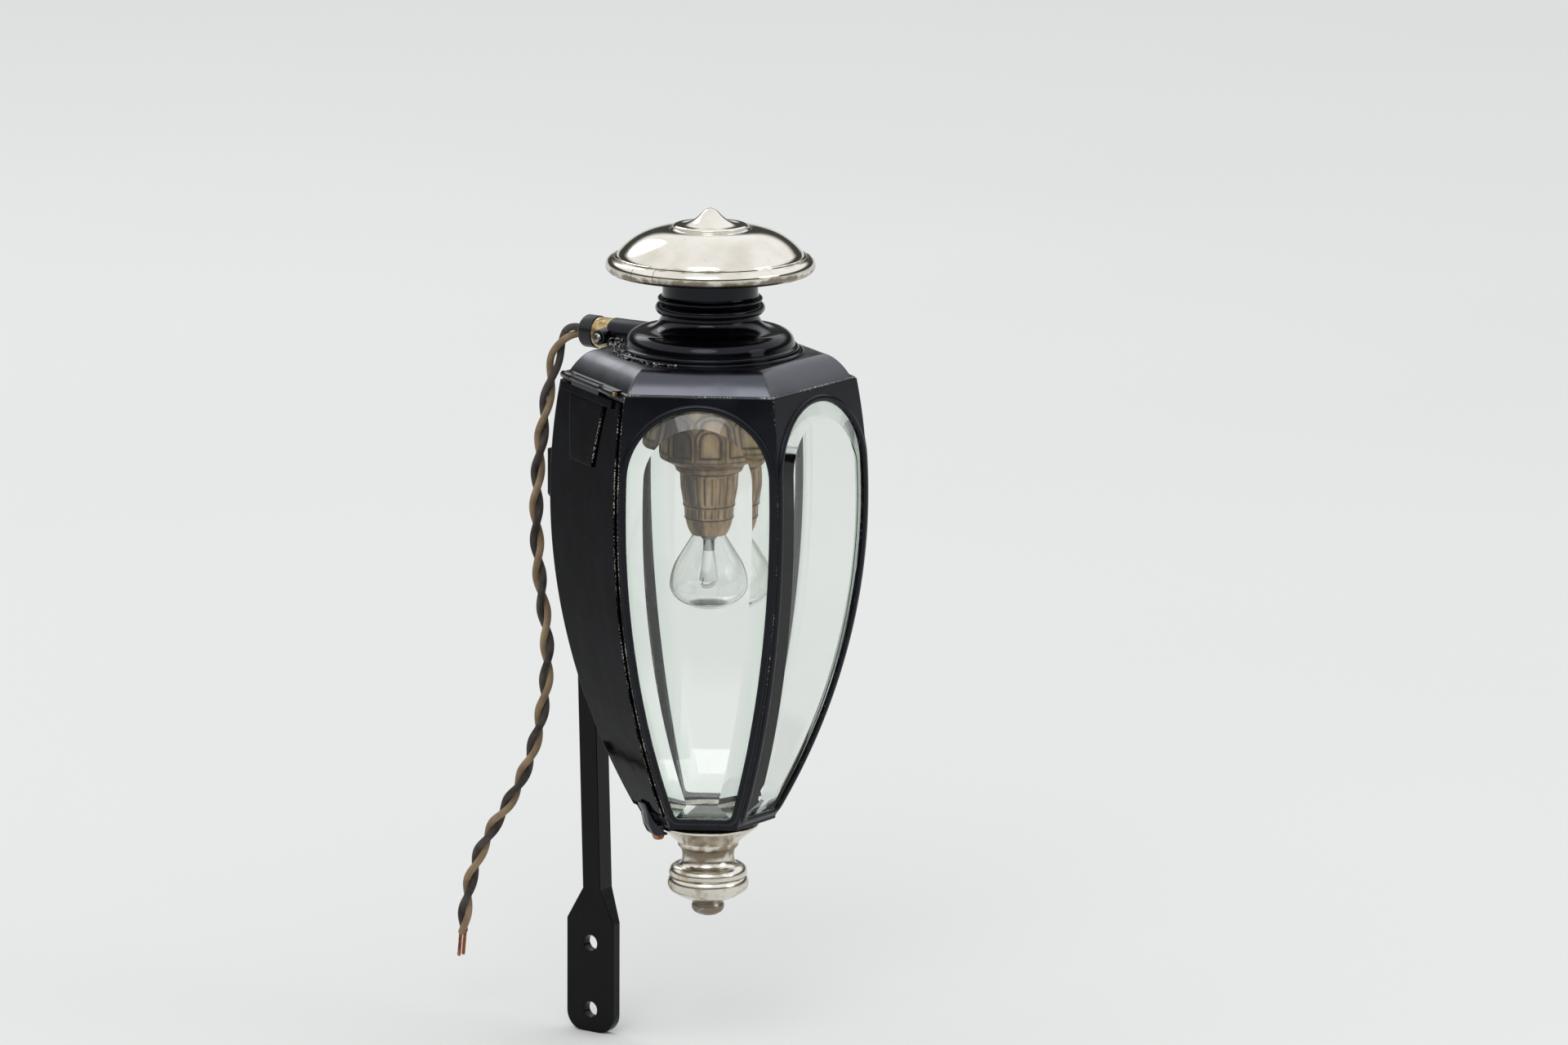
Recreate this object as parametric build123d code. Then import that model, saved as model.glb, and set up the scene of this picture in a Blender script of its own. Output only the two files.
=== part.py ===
from build123d import *
import math
import os

os.makedirs("parts", exist_ok=True)

# Driving sizes in millimetres. Heights count from the rim of the six-sided body, where z = 0.
# The lamp looks forward along -Y and its iron stands behind it on +Y.

# Six-sided body: every side bows outward along one arc
side_bulge = 70.7           # widest distance from the axis to a side
bulge_depth = 62.0          # how far below the rim the body is widest
foot_reach = 30.4           # distance from the axis to a side at the bottom
body_depth = 231.0
sheet = 1.2                 # thickness of the body's sheet metal
half_side = math.tan(math.pi / 6)   # half the width of a side, per unit of its distance from the axis
bow_height = body_depth - bulge_depth
bow_drop = side_bulge - foot_reach
side_arc = (bow_height ** 2 + bow_drop ** 2) / (2 * bow_drop)   # radius of the bow of each side
rim_reach = side_bulge - side_arc + math.sqrt(side_arc ** 2 - bulge_depth ** 2)

# Windows and their moulding
window_border = 4.6         # from a corner of the body to the opening
window_head = 6.5           # from the rim to the top of the arch
window_foot = 4.6           # from the bottom of the body to the opening
foot_round = 3.0
bead_width = 3.6
bead_height = 1.3
seat_gap = 0.3              # room between a pane or liner and its seat

# Panes of plate glass, bent to the side and bevelled all round
glass_thick = 5.2
glass_lap = 1.3             # how far a pane passes behind the edge of its opening
bevel_width = 8.6
bevel_depth = 3.2
bevel_slope = bevel_depth / (bevel_width + glass_lap)
foot_slope = bow_height / math.sqrt(side_arc ** 2 - bow_height ** 2)
glass_seat = seat_gap + bevel_slope * (glass_lap + sheet * foot_slope)   # the bevel rises through the opening
glass_front = sheet + glass_seat - bevel_depth   # depth of the flat field, below zero where it stands proud

# Polished liner inside the rear side
liner_sheet = 0.8
liner_border = 8.0

# Roof
ledge_reach = rim_reach - 0.7   # flange that rests on the rim
ledge_thick = 1.0
roof_foot_reach = ledge_reach - 2.0
roof_shoulder_reach = 53.3
roof_shoulder_height = 12.2
roof_height = 12.6
roof_crown = 0.9            # how far the slope of the roof bows outward
roof_sheet = 1.4
roof_seat = roof_height - 2 * roof_sheet    # underside of the roof's top, where the gallery hangs
vent_radius = 38.0

# Chimney: rings, shoulder, throat and two beads
ring_radius = 48.3
shoulder_radius = 43.4
shoulder_foot = roof_height + 5.4
shoulder_round = (41.2, shoulder_foot + 4.2, 35.4, shoulder_foot + 6.2)
throat_radius = 25.2
throat_foot = shoulder_foot + 13.0
throat_round = (28.6, throat_foot - 4.8, throat_radius, throat_foot)
chimney_wall = 1.4
bead_radius = 28.2
collar_radius = 24.6
collar_top = 73.6            # under the dome of the cap

# Cap
cap_radius = 53.8
cap_bead_height = 58.2
cap_groove = (48.8, 62.9)    # radius and height
cap_sheet = 1.6
button_radius = 19.4
button_height = 77.3
cap_tip = 87.1

# Electric socket behind the chimney, and its plug
plug_height = 15.2
plug_radius = 8.5
tube_start = 27.0
tube_end = ledge_reach - 4.8
tube_bore = plug_radius - 1.4
spigot_length = 9.0
ring_end = tube_end + 9.8
plug_end = ring_end + 8.6
plug_play = 0.3
boss_radius = 3.3
boss_place = tube_end + 0.5     # along Y, over the brass ring
boss_reach = plug_radius + 5.5
boss_length = 4.4
screw_radius = 2.5
screw_head = 1.7

# Bulb holder and bulb
gallery_radius = 25.3
gallery_foot = -43.0
gallery_plate = 3.0         # from the gallery's rim to its underside
gallery_tube = 16.0         # radius of its upper tube
gallery_sheet = 1.4
holder_length = 36.2
holder_top = gallery_foot - gallery_plate
holder_foot = holder_top - holder_length
bulb_radius = 20.2
bulb_neck = 8.9
bulb_length = 39.3
bulb_wall = 0.7

# Foot of the lamp
foot_plate = 1.4
flange_radius = 26.2
flange_drop = 3.6           # from the finial's top to the middle of its flange's rim
flange_foot = 5.0           # and to the flange's underside
neck_radius = 14.1
ball_radius = 21.0
knob_radius = 8.4
finial_length = 52.6

# Door on the left rear side, hinged along its top edge
door_azimuth = -120
door_gap = 0.3
door_sheet = 1.2
door_edge = 2.0             # from a corner of the body to the edge of the door
door_top = 3.0
door_bottom = body_depth - 5.0
hinge_height = 0.3
hinge_out = 2.1             # axis of the hinge beyond the rim
knuckle_radius = 1.8
knuckle_gap = 0.25
knuckle_places = (-33.0, -21.3, 13.4, 30.0)
pin_radius = 0.8
pin_play = 0.05
leaf_sheet = 1.0
strap_top_width = 42.0
strap_foot_width = 27.0
strap_shoulder = 7.5
strap_foot = 40.0
catch_width = 9.0
catch_thick = 3.0
catch_sheet = 1.2
catch_rise = 5.0            # above the door's foot
rivet_radius = 3.3
rivet_head = 3.0
rivet_place = flange_radius + 2.2

# Lamp iron and its socket
iron_width = 11.1
iron_lean = 2.4             # degrees that the iron leans to one side, towards its foot
iron_gap = 1.0              # from the body to the iron
iron_play = 0.25
socket_half_width = 25.0
socket_top = -44.0
socket_foot = -75.0
socket_wall = 2.6
socket_slant = 8.0
iron_head = 4.0             # stands above the socket
iron_foot = -283.0
palm_taper = 17.0
palm_proud = 1.0            # its mating face stands out from the side of the iron
palm_width = 30.0
palm_thick = 6.0
palm_length = 60.0
palm_round = 10.0
palm_hole = 4.25
palm_spacing = 36.0
screw_square = 8.0

# Twisted flex, as one round tube of the pair's outer size
flex_radius = 3.85
tail_radius = 1.0
tail_length = 12.0
flex_route = [
    (0.0, plug_end, plug_height), (0.0, 87.6, plug_height), (0.3, 95.6, 7.0), (0.6, 100.4, -9.0),
    (0.9, 107.0, -38.0), (0.5, 111.2, -78.0), (-0.4, 108.4, -118.0), (-0.8, 101.0, -156.0),
    (-0.2, 106.4, -196.0), (0.2, 120.4, -232.0), (-0.8, 144.5, -266.0), (-1.4, 155.0, -294.0),
    (-1.5, 157.2, -318.0),
]

big = 2 * side_bulge        # larger than half the lamp, for cutting


def side_reach(z, inset=0.0):
    # distance from the axis to a side at height z, a given depth below its skin
    return side_bulge - side_arc + math.sqrt((side_arc - inset) ** 2 - (z + bulge_depth) ** 2)


def outline(start, steps):
    # closed face from lines (x, y) and arcs (middle x, middle y, end x, end y)
    edges = []
    here = start
    for step in steps:
        if len(step) == 2:
            edges.append(Line(here, step))
        else:
            edges.append(ThreePointArc(here, step[:2], step[2:]))
        here = step[-2:]
    if math.dist(here, start) > 1e-6:
        edges.append(Line(here, start))
    return Face(Wire(edges))


def dome(radius, edge_height, tip_height):
    # arc from a rim to a tip on the axis, with its centre on the axis
    rise = tip_height - edge_height
    ball = (radius ** 2 + rise ** 2) / (2 * rise)
    return (radius / 2, tip_height - ball + math.copysign(math.sqrt(ball ** 2 - radius ** 2 / 4), rise), 0, tip_height)


def turned(start, steps):
    # round piece from half its section, as radius and height
    return revolve(Plane.XZ * outline(start, steps), Axis.Z)


def drum(radius, foot, top):
    return Pos(0, 0, foot) * extrude(Face(Wire(Circle(radius).edge())), top - foot)


def cylinder_along(axis, radius, start, end, across=0.0, height=0.0):
    # round bar along "x" or "y", with its other two coordinates
    plane = Plane.YZ if axis == "x" else Plane.XZ
    bar = extrude(plane * Face(Wire(Circle(radius).edge())), end - start)
    if axis == "x":
        return Pos(start, across, height) * bar
    return Pos(across, end, height) * bar


def block(low, high):
    size = [b - a for a, b in zip(low, high)]
    middle = [(a + b) / 2 for a, b in zip(low, high)]
    return Pos(*middle) * Box(*size)


def bowed_sheet(outer, inner, top, bottom):
    # part of one side, between two depths below its skin. The side faces +X here.
    middle = (top + bottom) / 2
    section = outline(
        (side_reach(top, outer), top),
        [
            (side_reach(middle, outer), middle, side_reach(bottom, outer), bottom),
            (side_reach(bottom, inner), bottom),
            (side_reach(middle, inner), middle, side_reach(top, inner), top),
        ],
    )
    return extrude(Plane.XZ * section, big, both=True)


def sector(edge_gap=0.0):
    # wedge between two corner planes of the body, set back by a gap
    apex = edge_gap / half_side
    width = (big - apex) * half_side
    wedge = outline((apex, 0), [(big, width), (big, -width)])
    return Pos(0, 0, -body_depth - 30) * extrude(wedge, body_depth + 60, dir=(0, 0, 1))


def window_prism(margin, foot_radius=foot_round):
    # round-headed opening whose sides follow the corners, grown by a margin
    def half(z):
        return side_reach(z) * half_side - window_border + margin

    arch = half(-bulge_depth)
    centre = margin - window_head - arch
    foot = window_foot - body_depth - margin
    middle = (centre + foot) / 2
    shape = outline(
        (half(foot), foot),
        [
            (half(middle), middle, arch, centre),
            (0, centre + arch, -arch, centre),
            (-half(middle), middle, -half(foot), foot),
        ],
    )
    if foot_radius:
        corners = shape.vertices().group_by(Axis.Y)[0]
        shape = shape.fillet_2d(foot_radius + margin, corners)
    return extrude(Plane.YZ * shape, big, dir=(1, 0, 0))


def facing(azimuth, piece):
    # turns a piece that faces +X so that it faces the azimuth: 0 is forward, -90 is the left
    return Rot(0, 0, azimuth - 90) * piece


def six_sided(section):
    # solid whose six sides all have this half section (x is the distance from the axis)
    slab = extrude(Plane.XZ * section, big, both=True)
    solid = Rot(0, 0, 30) * slab
    for turn in (90, 150):
        solid = solid & Rot(0, 0, turn) * slab
    return solid


def side_panel(has_window, has_bead):
    panel = bowed_sheet(0, sheet, 0, -body_depth) & sector()
    if has_window:
        panel = panel - window_prism(0)
    if has_bead:
        bead = bowed_sheet(-bead_height, 0, 0, -body_depth) & sector(seat_gap)
        panel = panel + (bead & (window_prism(bead_width) - window_prism(0)))
    return panel


def glass_pane():
    # the ground rim seats behind the sheet and the flat field stands up through the opening
    pane = bowed_sheet(glass_front, glass_front + glass_thick, 0, -body_depth) & window_prism(glass_lap, 0)
    skin = pane.faces().sort_by(SortBy.AREA)[-2:].sort_by(Axis.X)[-1]
    return chamfer(skin.edges(), bevel_width + glass_lap, bevel_depth, reference=skin)


def liner():
    # polished sheet inside the rear side, set back from its ends and corners
    inset = sheet + seat_gap
    plate = bowed_sheet(inset, inset + liner_sheet, -liner_border, liner_border - body_depth)
    return plate & sector(inset * half_side + 1.5)


def roof():
    slope_x = (roof_foot_reach + roof_shoulder_reach) / 2 + roof_crown * 0.76
    slope_z = (ledge_thick + roof_shoulder_height) / 2 + roof_crown * 0.65
    outer = [
        (ledge_reach, ledge_thick),
        (roof_foot_reach, ledge_thick),
        (slope_x, slope_z, roof_shoulder_reach, roof_shoulder_height),
        (ring_radius + 1.2, roof_height),
        (-ring_radius - 1.2, roof_height),
        (-roof_shoulder_reach, roof_shoulder_height),
        (-slope_x, slope_z, -roof_foot_reach, ledge_thick),
        (-ledge_reach, ledge_thick),
        (-ledge_reach, 0),
    ]
    inner_foot = roof_foot_reach - roof_sheet
    inner_shoulder = roof_shoulder_reach - roof_sheet
    inner = [
        (slope_x - roof_sheet, slope_z - roof_sheet, inner_shoulder, roof_seat),
        (-inner_shoulder, roof_seat),
        (-slope_x + roof_sheet, slope_z - roof_sheet, -inner_foot, 0),
    ]
    shell = six_sided(outline((ledge_reach, 0), outer))
    shell = shell - six_sided(outline((inner_foot, 0), inner))
    tube_hole = cylinder_along("y", plug_radius + seat_gap, 0, ledge_reach, 0, plug_height)
    return shell - drum(vent_radius, 0, roof_height + 1) - tube_hole


def chimney():
    outside = [
        (ring_radius, roof_height),
        (ring_radius, roof_height + 0.8),
        (ring_radius - 2.7, roof_height + 1.6),
        (ring_radius - 2.7, roof_height + 2.9),
        (shoulder_radius, roof_height + 4.0),
        (shoulder_radius, shoulder_foot),
        shoulder_round,
        throat_round,
        (throat_radius, throat_foot + 1.4),
        (bead_radius - 1.4, throat_foot + 2.0),
        (bead_radius, throat_foot + 3.6),
        (bead_radius, throat_foot + 5.4),
        (bead_radius - 1.4, throat_foot + 7.0),
        (bead_radius - 2.4, throat_foot + 7.8),
        (bead_radius - 1.3, throat_foot + 8.6),
        (bead_radius - 1.3, throat_foot + 10.0),
        (collar_radius, throat_foot + 11.2),
        (collar_radius, collar_top),
    ]
    bore = collar_radius - chimney_wall
    inside = [
        (bore, collar_top),
        (bore, throat_foot - 2.0),
        (vent_radius, shoulder_foot),
        (vent_radius, roof_height),
    ]
    return turned((vent_radius, roof_height), outside + inside)


def cap():
    # spun shell, open below, that rests on the top of the collar
    groove_r, groove_z = cap_groove
    steps = [
        (cap_radius, cap_bead_height, groove_r + 0.6, groove_z - 0.5),
        (groove_r, groove_z),
        (39.0, 72.3, 21.6, 77.6),
        (21.0, 77.0),
        (button_radius + 0.7, button_height),
        (0, button_height),
        (0, collar_top + seat_gap),
        (collar_radius + 2, collar_top + seat_gap),
        (40.0, 69.0),
        (groove_r - cap_sheet, groove_z - 1.5 * cap_sheet),
        (cap_radius - cap_sheet, cap_bead_height + 1.0),
        (cap_radius - cap_sheet, cap_bead_height - 1.4),
        (cap_radius - 5.0, cap_bead_height - 4.5 + cap_sheet),
        (cap_radius - 7.6, cap_bead_height - 4.5 + cap_sheet),
        (cap_radius - 7.6, cap_bead_height - 4.5),
    ]
    return turned((cap_radius - 4.6, cap_bead_height - 4.5), steps)


def cap_button():
    steps = [
        (button_radius, button_height),
        (button_radius, button_height + 0.7),
        (button_radius - 0.8, button_height + 1.2),
        (10.6, 80.2, 5.0, 84.4),
        (2.2, cap_tip - 0.7),
        dome(2.2, cap_tip - 0.7, cap_tip),
    ]
    return turned((0, button_height), steps)


def grown(arc, gap):
    # the same arc of a section, moved outward and up by a gap
    return (arc[0] + gap, arc[1] + gap / 2, arc[2] + gap, arc[3] + gap / 2)


def socket_tube():
    # fits over the chimney's shoulder, and its boss takes the screw that clamps the plug
    tube = cylinder_along("y", plug_radius, tube_start, tube_end, 0, plug_height)
    bore = cylinder_along("y", tube_bore + plug_play, tube_end - spigot_length - 1, tube_end + 1, 0, plug_height)
    boss = cylinder_along("x", boss_radius, -boss_reach, -plug_radius - plug_play, boss_place, plug_height)
    ear_low = (boss_length - boss_reach, tube_end - 4, plug_height - boss_radius)
    ear = block(ear_low, (-plug_radius - plug_play, boss_place, plug_height + boss_radius))
    root = block(ear_low, (-plug_radius * 0.7, tube_end, plug_height + boss_radius))
    room = [grown(place, seat_gap + 0.3) for place in (shoulder_round, throat_round)]
    outer = shoulder_radius + seat_gap + 0.3
    top = room[1][-1]
    chimney_room = turned((0, 0), [(outer, 0), (outer, shoulder_foot)] + room + [(0, top)])
    ring_room = drum(ring_radius + seat_gap, 0, roof_height + 4)
    return (tube + boss + ear + root) - chimney_room - ring_room - bore


def clamp_screw():
    top = -boss_reach - screw_head
    head = cylinder_along("x", screw_radius, top, -boss_reach, boss_place, plug_height)
    head = chamfer(head.faces().sort_by(Axis.X)[0].edges(), 0.4 * screw_head)
    slot = block(
        (top - 1, boss_place - screw_radius, plug_height - 0.35),
        (top + 0.8, boss_place + screw_radius, plug_height + 0.35),
    )
    return head - slot


def plug_ring():
    spigot = cylinder_along("y", tube_bore, tube_end - spigot_length, tube_end + plug_play, 0, plug_height)
    band = cylinder_along("y", plug_radius - 0.5, tube_end + plug_play, ring_end, 0, plug_height)
    return spigot + band


def plug_cap():
    body = cylinder_along("y", plug_radius, ring_end, plug_end, 0, plug_height)
    return chamfer(body.faces().sort_by(Axis.Y)[-1].edges(), 1.0)


def gallery():
    # bell hung under the roof on a flat rim
    rim = vent_radius + 4
    bore = gallery_tube - gallery_sheet
    inner = gallery_radius - gallery_sheet
    steps = [
        (rim, roof_seat),
        (bore, roof_seat),
        (bore, gallery_foot + 34.0),
        (inner - 2.8, gallery_foot + 26, inner + 0.2, gallery_foot + 14),
        (inner, gallery_foot + 1.4),
        (gallery_tube + 2, holder_top + gallery_sheet),
        (0, holder_top + gallery_sheet),
        (0, holder_top),
        (gallery_tube + 2, holder_top),
        (gallery_radius - 2.0, gallery_foot),
        (gallery_radius, gallery_foot + 1.2),
        (gallery_radius + 0.2, gallery_foot + 14),
        (gallery_radius - 3.0, gallery_foot + 27, gallery_tube, gallery_foot + 34.8),
        (gallery_tube, roof_seat - gallery_sheet),
    ]
    return turned((rim, roof_seat - gallery_sheet), steps)


def holder():
    # heights below the gallery's underside
    steps = [
        (17.4, 0),
        (17.8, -1.0),
        (17.0, -2.8),
        (15.0, -4.0),
        (14.6, -12.0),
        (13.3, -20.4),
        (12.8, -22.0),
        (12.5, -27.4),
        (12.0, -28.6),
        (10.8, -33.0, bulb_neck + 0.3, -holder_length),
        (0, -holder_length),
    ]
    return Pos(0, 0, holder_top) * turned((0, 0), steps)


def bulb():
    # blown shell, heights below the holder's foot
    shoulder = 15.5 - bulb_length
    waist = 2.5 - bulb_length
    tip = bulb_wall - bulb_length
    widest = bulb_radius - 0.3
    crown = bulb_radius * 0.62
    inner_top = waist + bulb_wall
    steps = [
        (bulb_neck, -3.0),
        (widest, shoulder),
        (bulb_radius - 0.9, waist + 5.6, crown, waist),
        dome(crown, waist, -bulb_length),
        (0, tip),
        dome(crown - 0.4, inner_top, tip)[:2] + (crown - 0.4, inner_top),
        (bulb_radius - 0.9 - bulb_wall, waist + 6.0, widest - bulb_wall, shoulder),
        (bulb_neck - bulb_wall, -3.2),
        (bulb_neck - bulb_wall, -seat_gap),
    ]
    return Pos(0, 0, holder_foot) * turned((bulb_neck, -seat_gap), steps)


def bulb_stem():
    # clamp, support and the bead that holds the filament, heights below the holder's foot
    steps = [(3.8, 0), (3.8, -9.8), (2.2, -11.3), (2.2, -21.8), (3.2, -23.8, 2.2, -25.8), (0, -25.8)]
    return Pos(0, 0, holder_foot) * turned((0, 0), steps)


def foot_pan():
    # six-sided bottom plate with a dished pan inside
    reach = side_reach(-body_depth)
    plate_top = -body_depth
    plate = six_sided(outline((reach, plate_top - foot_plate), [
        (reach, plate_top),
        (-reach, plate_top),
        (-reach, plate_top - foot_plate),
    ]))
    rim = reach - glass_front - glass_thick - 2.7
    dish = turned((0, plate_top), [
        (rim, plate_top),
        (rim, plate_top + 3.4),
        (rim - 1.0, plate_top + 3.4),
        (rim - 4.0, plate_top + 1.8),
        dome(rim - 4.0, plate_top + 1.8, plate_top + 0.6),
    ])
    return plate + dish


def finial():
    # flange, cove, neck, grooved ball and knob, heights below the foot plate
    steps = [
        (flange_radius - 4.5, 0),
        (flange_radius - 2.6, 1.0 - flange_drop),
        (flange_radius, 0.6 - flange_drop),
        (flange_radius, -0.6 - flange_drop),
        (flange_radius - 1.2, -flange_foot),
        (neck_radius + 4.5, -10.1),
        (neck_radius + 1.5, -13.0),
        (neck_radius + 0.2, -16.2),
        (neck_radius - 0.6, -20.6),
        (neck_radius + 0.6, -24.0),
        (ball_radius + 0.1, -32.4, ball_radius - 2.4, -39.2),
        (knob_radius + 6.2, -41.6, knob_radius + 0.6, -44.0),
        (knob_radius - 0.6, -45.0),
        (knob_radius, -48.0, knob_radius - 3.0, 1.6 - finial_length),
        dome(knob_radius - 3.0, 1.6 - finial_length, -finial_length),
    ]
    return Pos(0, 0, -body_depth - foot_plate) * turned((0, 0), steps)


def fixed_hinge(axis_x):
    low, first, second, high = knuckle_places
    leaf = block(
        (roof_foot_reach + 0.3, low, ledge_thick),
        (axis_x, high, ledge_thick + 0.9),
    )
    window = block(
        (axis_x - knuckle_radius - 0.5, first, -5),
        (axis_x + 5, second, 5),
    )
    barrels = cylinder_along("y", knuckle_radius, low, first, axis_x, hinge_height)
    barrels = barrels + cylinder_along("y", knuckle_radius, second, high, axis_x, hinge_height)
    bore = cylinder_along("y", pin_radius + pin_play, low - 1, high + 1, axis_x, hinge_height)
    return (leaf - window) + barrels - bore


def door_leaf(axis_x):
    low, first, second, high = knuckle_places
    skin = -(door_gap + door_sheet + seat_gap)
    shape = outline((low, -door_top), [
        (high, -door_top),
        (high, -strap_shoulder + 1.0),
        (strap_top_width / 2, -strap_shoulder),
        (strap_foot_width / 2, -strap_foot),
        (-strap_foot_width / 2, -strap_foot),
        (-strap_top_width / 2, -strap_shoulder),
        (low, -strap_shoulder + 1.0),
    ])
    strap = bowed_sheet(skin - leaf_sheet, skin, 0, -body_depth) & extrude(Plane.YZ * shape, big, dir=(1, 0, 0))
    start = first + knuckle_gap
    end = second - knuckle_gap
    barrel = cylinder_along("y", knuckle_radius, start, end, axis_x, hinge_height)
    arm_x = side_reach(-door_top) - skin + 0.15
    arm = block((arm_x, start, -door_top - 0.6), (arm_x + leaf_sheet - 0.2, end, hinge_height - 0.9))
    bore = cylinder_along("y", pin_radius + pin_play, start - 1, end + 1, axis_x, hinge_height)
    return strap + arm + barrel - bore


def hinge_pin(axis_x):
    low, first, second, high = knuckle_places
    rod = cylinder_along("y", pin_radius, low, high, axis_x, hinge_height)
    head = cylinder_along("y", pin_radius + 0.6, high, high + 1.4, axis_x, hinge_height)
    return rod + head


def door():
    skin = -(door_gap + door_sheet)
    return bowed_sheet(skin, -door_gap, -door_top, -door_bottom) & sector(door_edge)


def catch_foot():
    # underside of the finial's flange, less the room under it
    return -body_depth - foot_plate - flange_foot - door_gap


def catch():
    # thumb lug on the door's foot, with a tongue that snaps under the flange
    inner = side_reach(-door_bottom) + door_gap
    outer = inner + door_sheet + catch_thick
    foot = catch_foot() - catch_sheet
    lug = block((inner, -catch_width / 2, foot), (outer, catch_width / 2, catch_rise - door_bottom))
    lug = fillet(lug.edges().filter_by(Axis.Y).sort_by(Axis.X)[-2:], 1.8)
    skin = -(door_gap + door_sheet)
    door_room = bowed_sheet(skin, big / 2, 0, -door_bottom)
    tongue = block(
        (flange_radius - 1.2, -catch_width / 2, foot),
        (inner + 1, catch_width / 2, catch_foot()),
    )
    return lug - door_room + tongue


def catch_rivet():
    foot = catch_foot() - catch_sheet
    head = turned((0, foot), [(rivet_radius, foot), dome(rivet_radius, foot, foot - rivet_head)])
    return Pos(rivet_place, 0, 0) * head


def iron_socket():
    back = side_bulge + iron_gap + iron_width + iron_play + socket_wall
    shape = outline((-socket_half_width, socket_top), [
        (socket_half_width, socket_top),
        (socket_half_width, socket_foot + socket_slant),
        (socket_half_width - 9, socket_foot),
        (-socket_half_width + 9, socket_foot),
        (-socket_half_width, socket_foot + socket_slant),
    ])
    plate = Pos(0, back, 0) * extrude(Plane.XZ * shape, 40, dir=(0, -1, 0))
    plate = fillet(plate.edges().filter_by(Axis.Z).sort_by(Axis.Y)[-2:], 2.0)
    slot = leaning_bar(iron_width / 2 + iron_play, socket_foot - 5, socket_top + 5)
    room = facing(180, bowed_sheet(-seat_gap, big / 2, 20, -body_depth))
    return plate - slot - room


def iron_centre():
    return side_bulge + iron_gap + iron_width / 2


def iron_shift(z):
    # how far the leaning iron stands to the right of the lamp's middle at height z
    return math.tan(math.radians(iron_lean)) * ((socket_top + socket_foot) / 2 - z)


def leaning_bar(half, foot, top):
    # square bar along the iron's line
    section = outline((iron_shift(foot) - half, foot), [
        (iron_shift(foot) + half, foot),
        (iron_shift(top) + half, top),
        (iron_shift(top) - half, top),
    ])
    return Pos(0, iron_centre() + half, 0) * extrude(Plane.XZ * section, 2 * half, dir=(0, -1, 0))


def palm_face():
    # place along X of the palm's mating face
    return iron_shift(iron_foot) - iron_width / 2 - palm_proud


def palm_centre():
    return iron_foot - palm_taper - palm_length / 2


def lamp_iron():
    # square bar that flattens into a palm with two bolt holes
    middle = iron_centre()
    bar = leaning_bar(iron_width / 2, iron_foot, socket_top + iron_head)
    bar = chamfer(bar.faces().sort_by(Axis.Z)[-1].edges(), 1.2)
    palm_top = iron_foot - palm_taper
    face = palm_face()
    upper = Pos(iron_shift(iron_foot), middle, iron_foot) * Rectangle(iron_width, iron_width)
    lower = Pos(face + palm_thick / 2, middle, palm_top) * Rectangle(palm_thick, palm_width)
    taper = loft([upper.face(), lower.face()])
    palm = block(
        (face, middle - palm_width / 2, palm_top - palm_length),
        (face + palm_thick, middle + palm_width / 2, palm_top),
    )
    palm = fillet(palm.edges().filter_by(Axis.X).sort_by(Axis.Z)[:2], palm_round)
    iron = bar + taper + palm
    for place in (-palm_spacing / 2, palm_spacing / 2):
        height = palm_centre() + place
        iron = iron - cylinder_along("x", palm_hole, face - 1, face + palm_thick + 1, middle, height)
    return iron


def set_screw():
    # square-headed screw that pinches the iron, in from the back of the socket
    back = side_bulge + iron_gap + iron_width + iron_play + socket_wall
    height = (socket_top + socket_foot) / 2
    half = screw_square / 2
    head = block((-half, back, height - half), (half, back + 0.6 * screw_square, height + half))
    return chamfer(head.faces().sort_by(Axis.Y)[-1].edges(), 0.9)


def flex_path():
    points = [Vector(*place) for place in flex_route]
    radii = []
    for before, here, after in zip(points, points[1:], points[2:]):
        run_in = here - before
        run_out = after - here
        turn = math.radians(run_in.get_angle(run_out))
        radii.append(0.45 * min(run_in.length, run_out.length) / math.tan(turn / 2))
    print("flex bend radii:", [round(radius, 1) for radius in radii])
    return FilletPolyline(*points, radius=radii)


def flex():
    path = flex_path()
    start = Plane(origin=path @ 0, z_dir=path % 0)
    tube = sweep(start * Circle(flex_radius), path=path)
    section = math.pi * flex_radius ** 2
    print("flex length", round(path.length, 1), "volume over section", round(tube.volume / section, 1))
    return tube, path


def flex_tails(path):
    # two bared copper ends
    end = Plane(origin=path @ 1, z_dir=path % 1)
    rod = extrude(Face(Wire(Circle(tail_radius).edge())), tail_length)
    shift = flex_radius / 2
    return Compound(children=[(end * Pos(place, 0, 0) * rod).solid() for place in (-shift, shift)])


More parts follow.
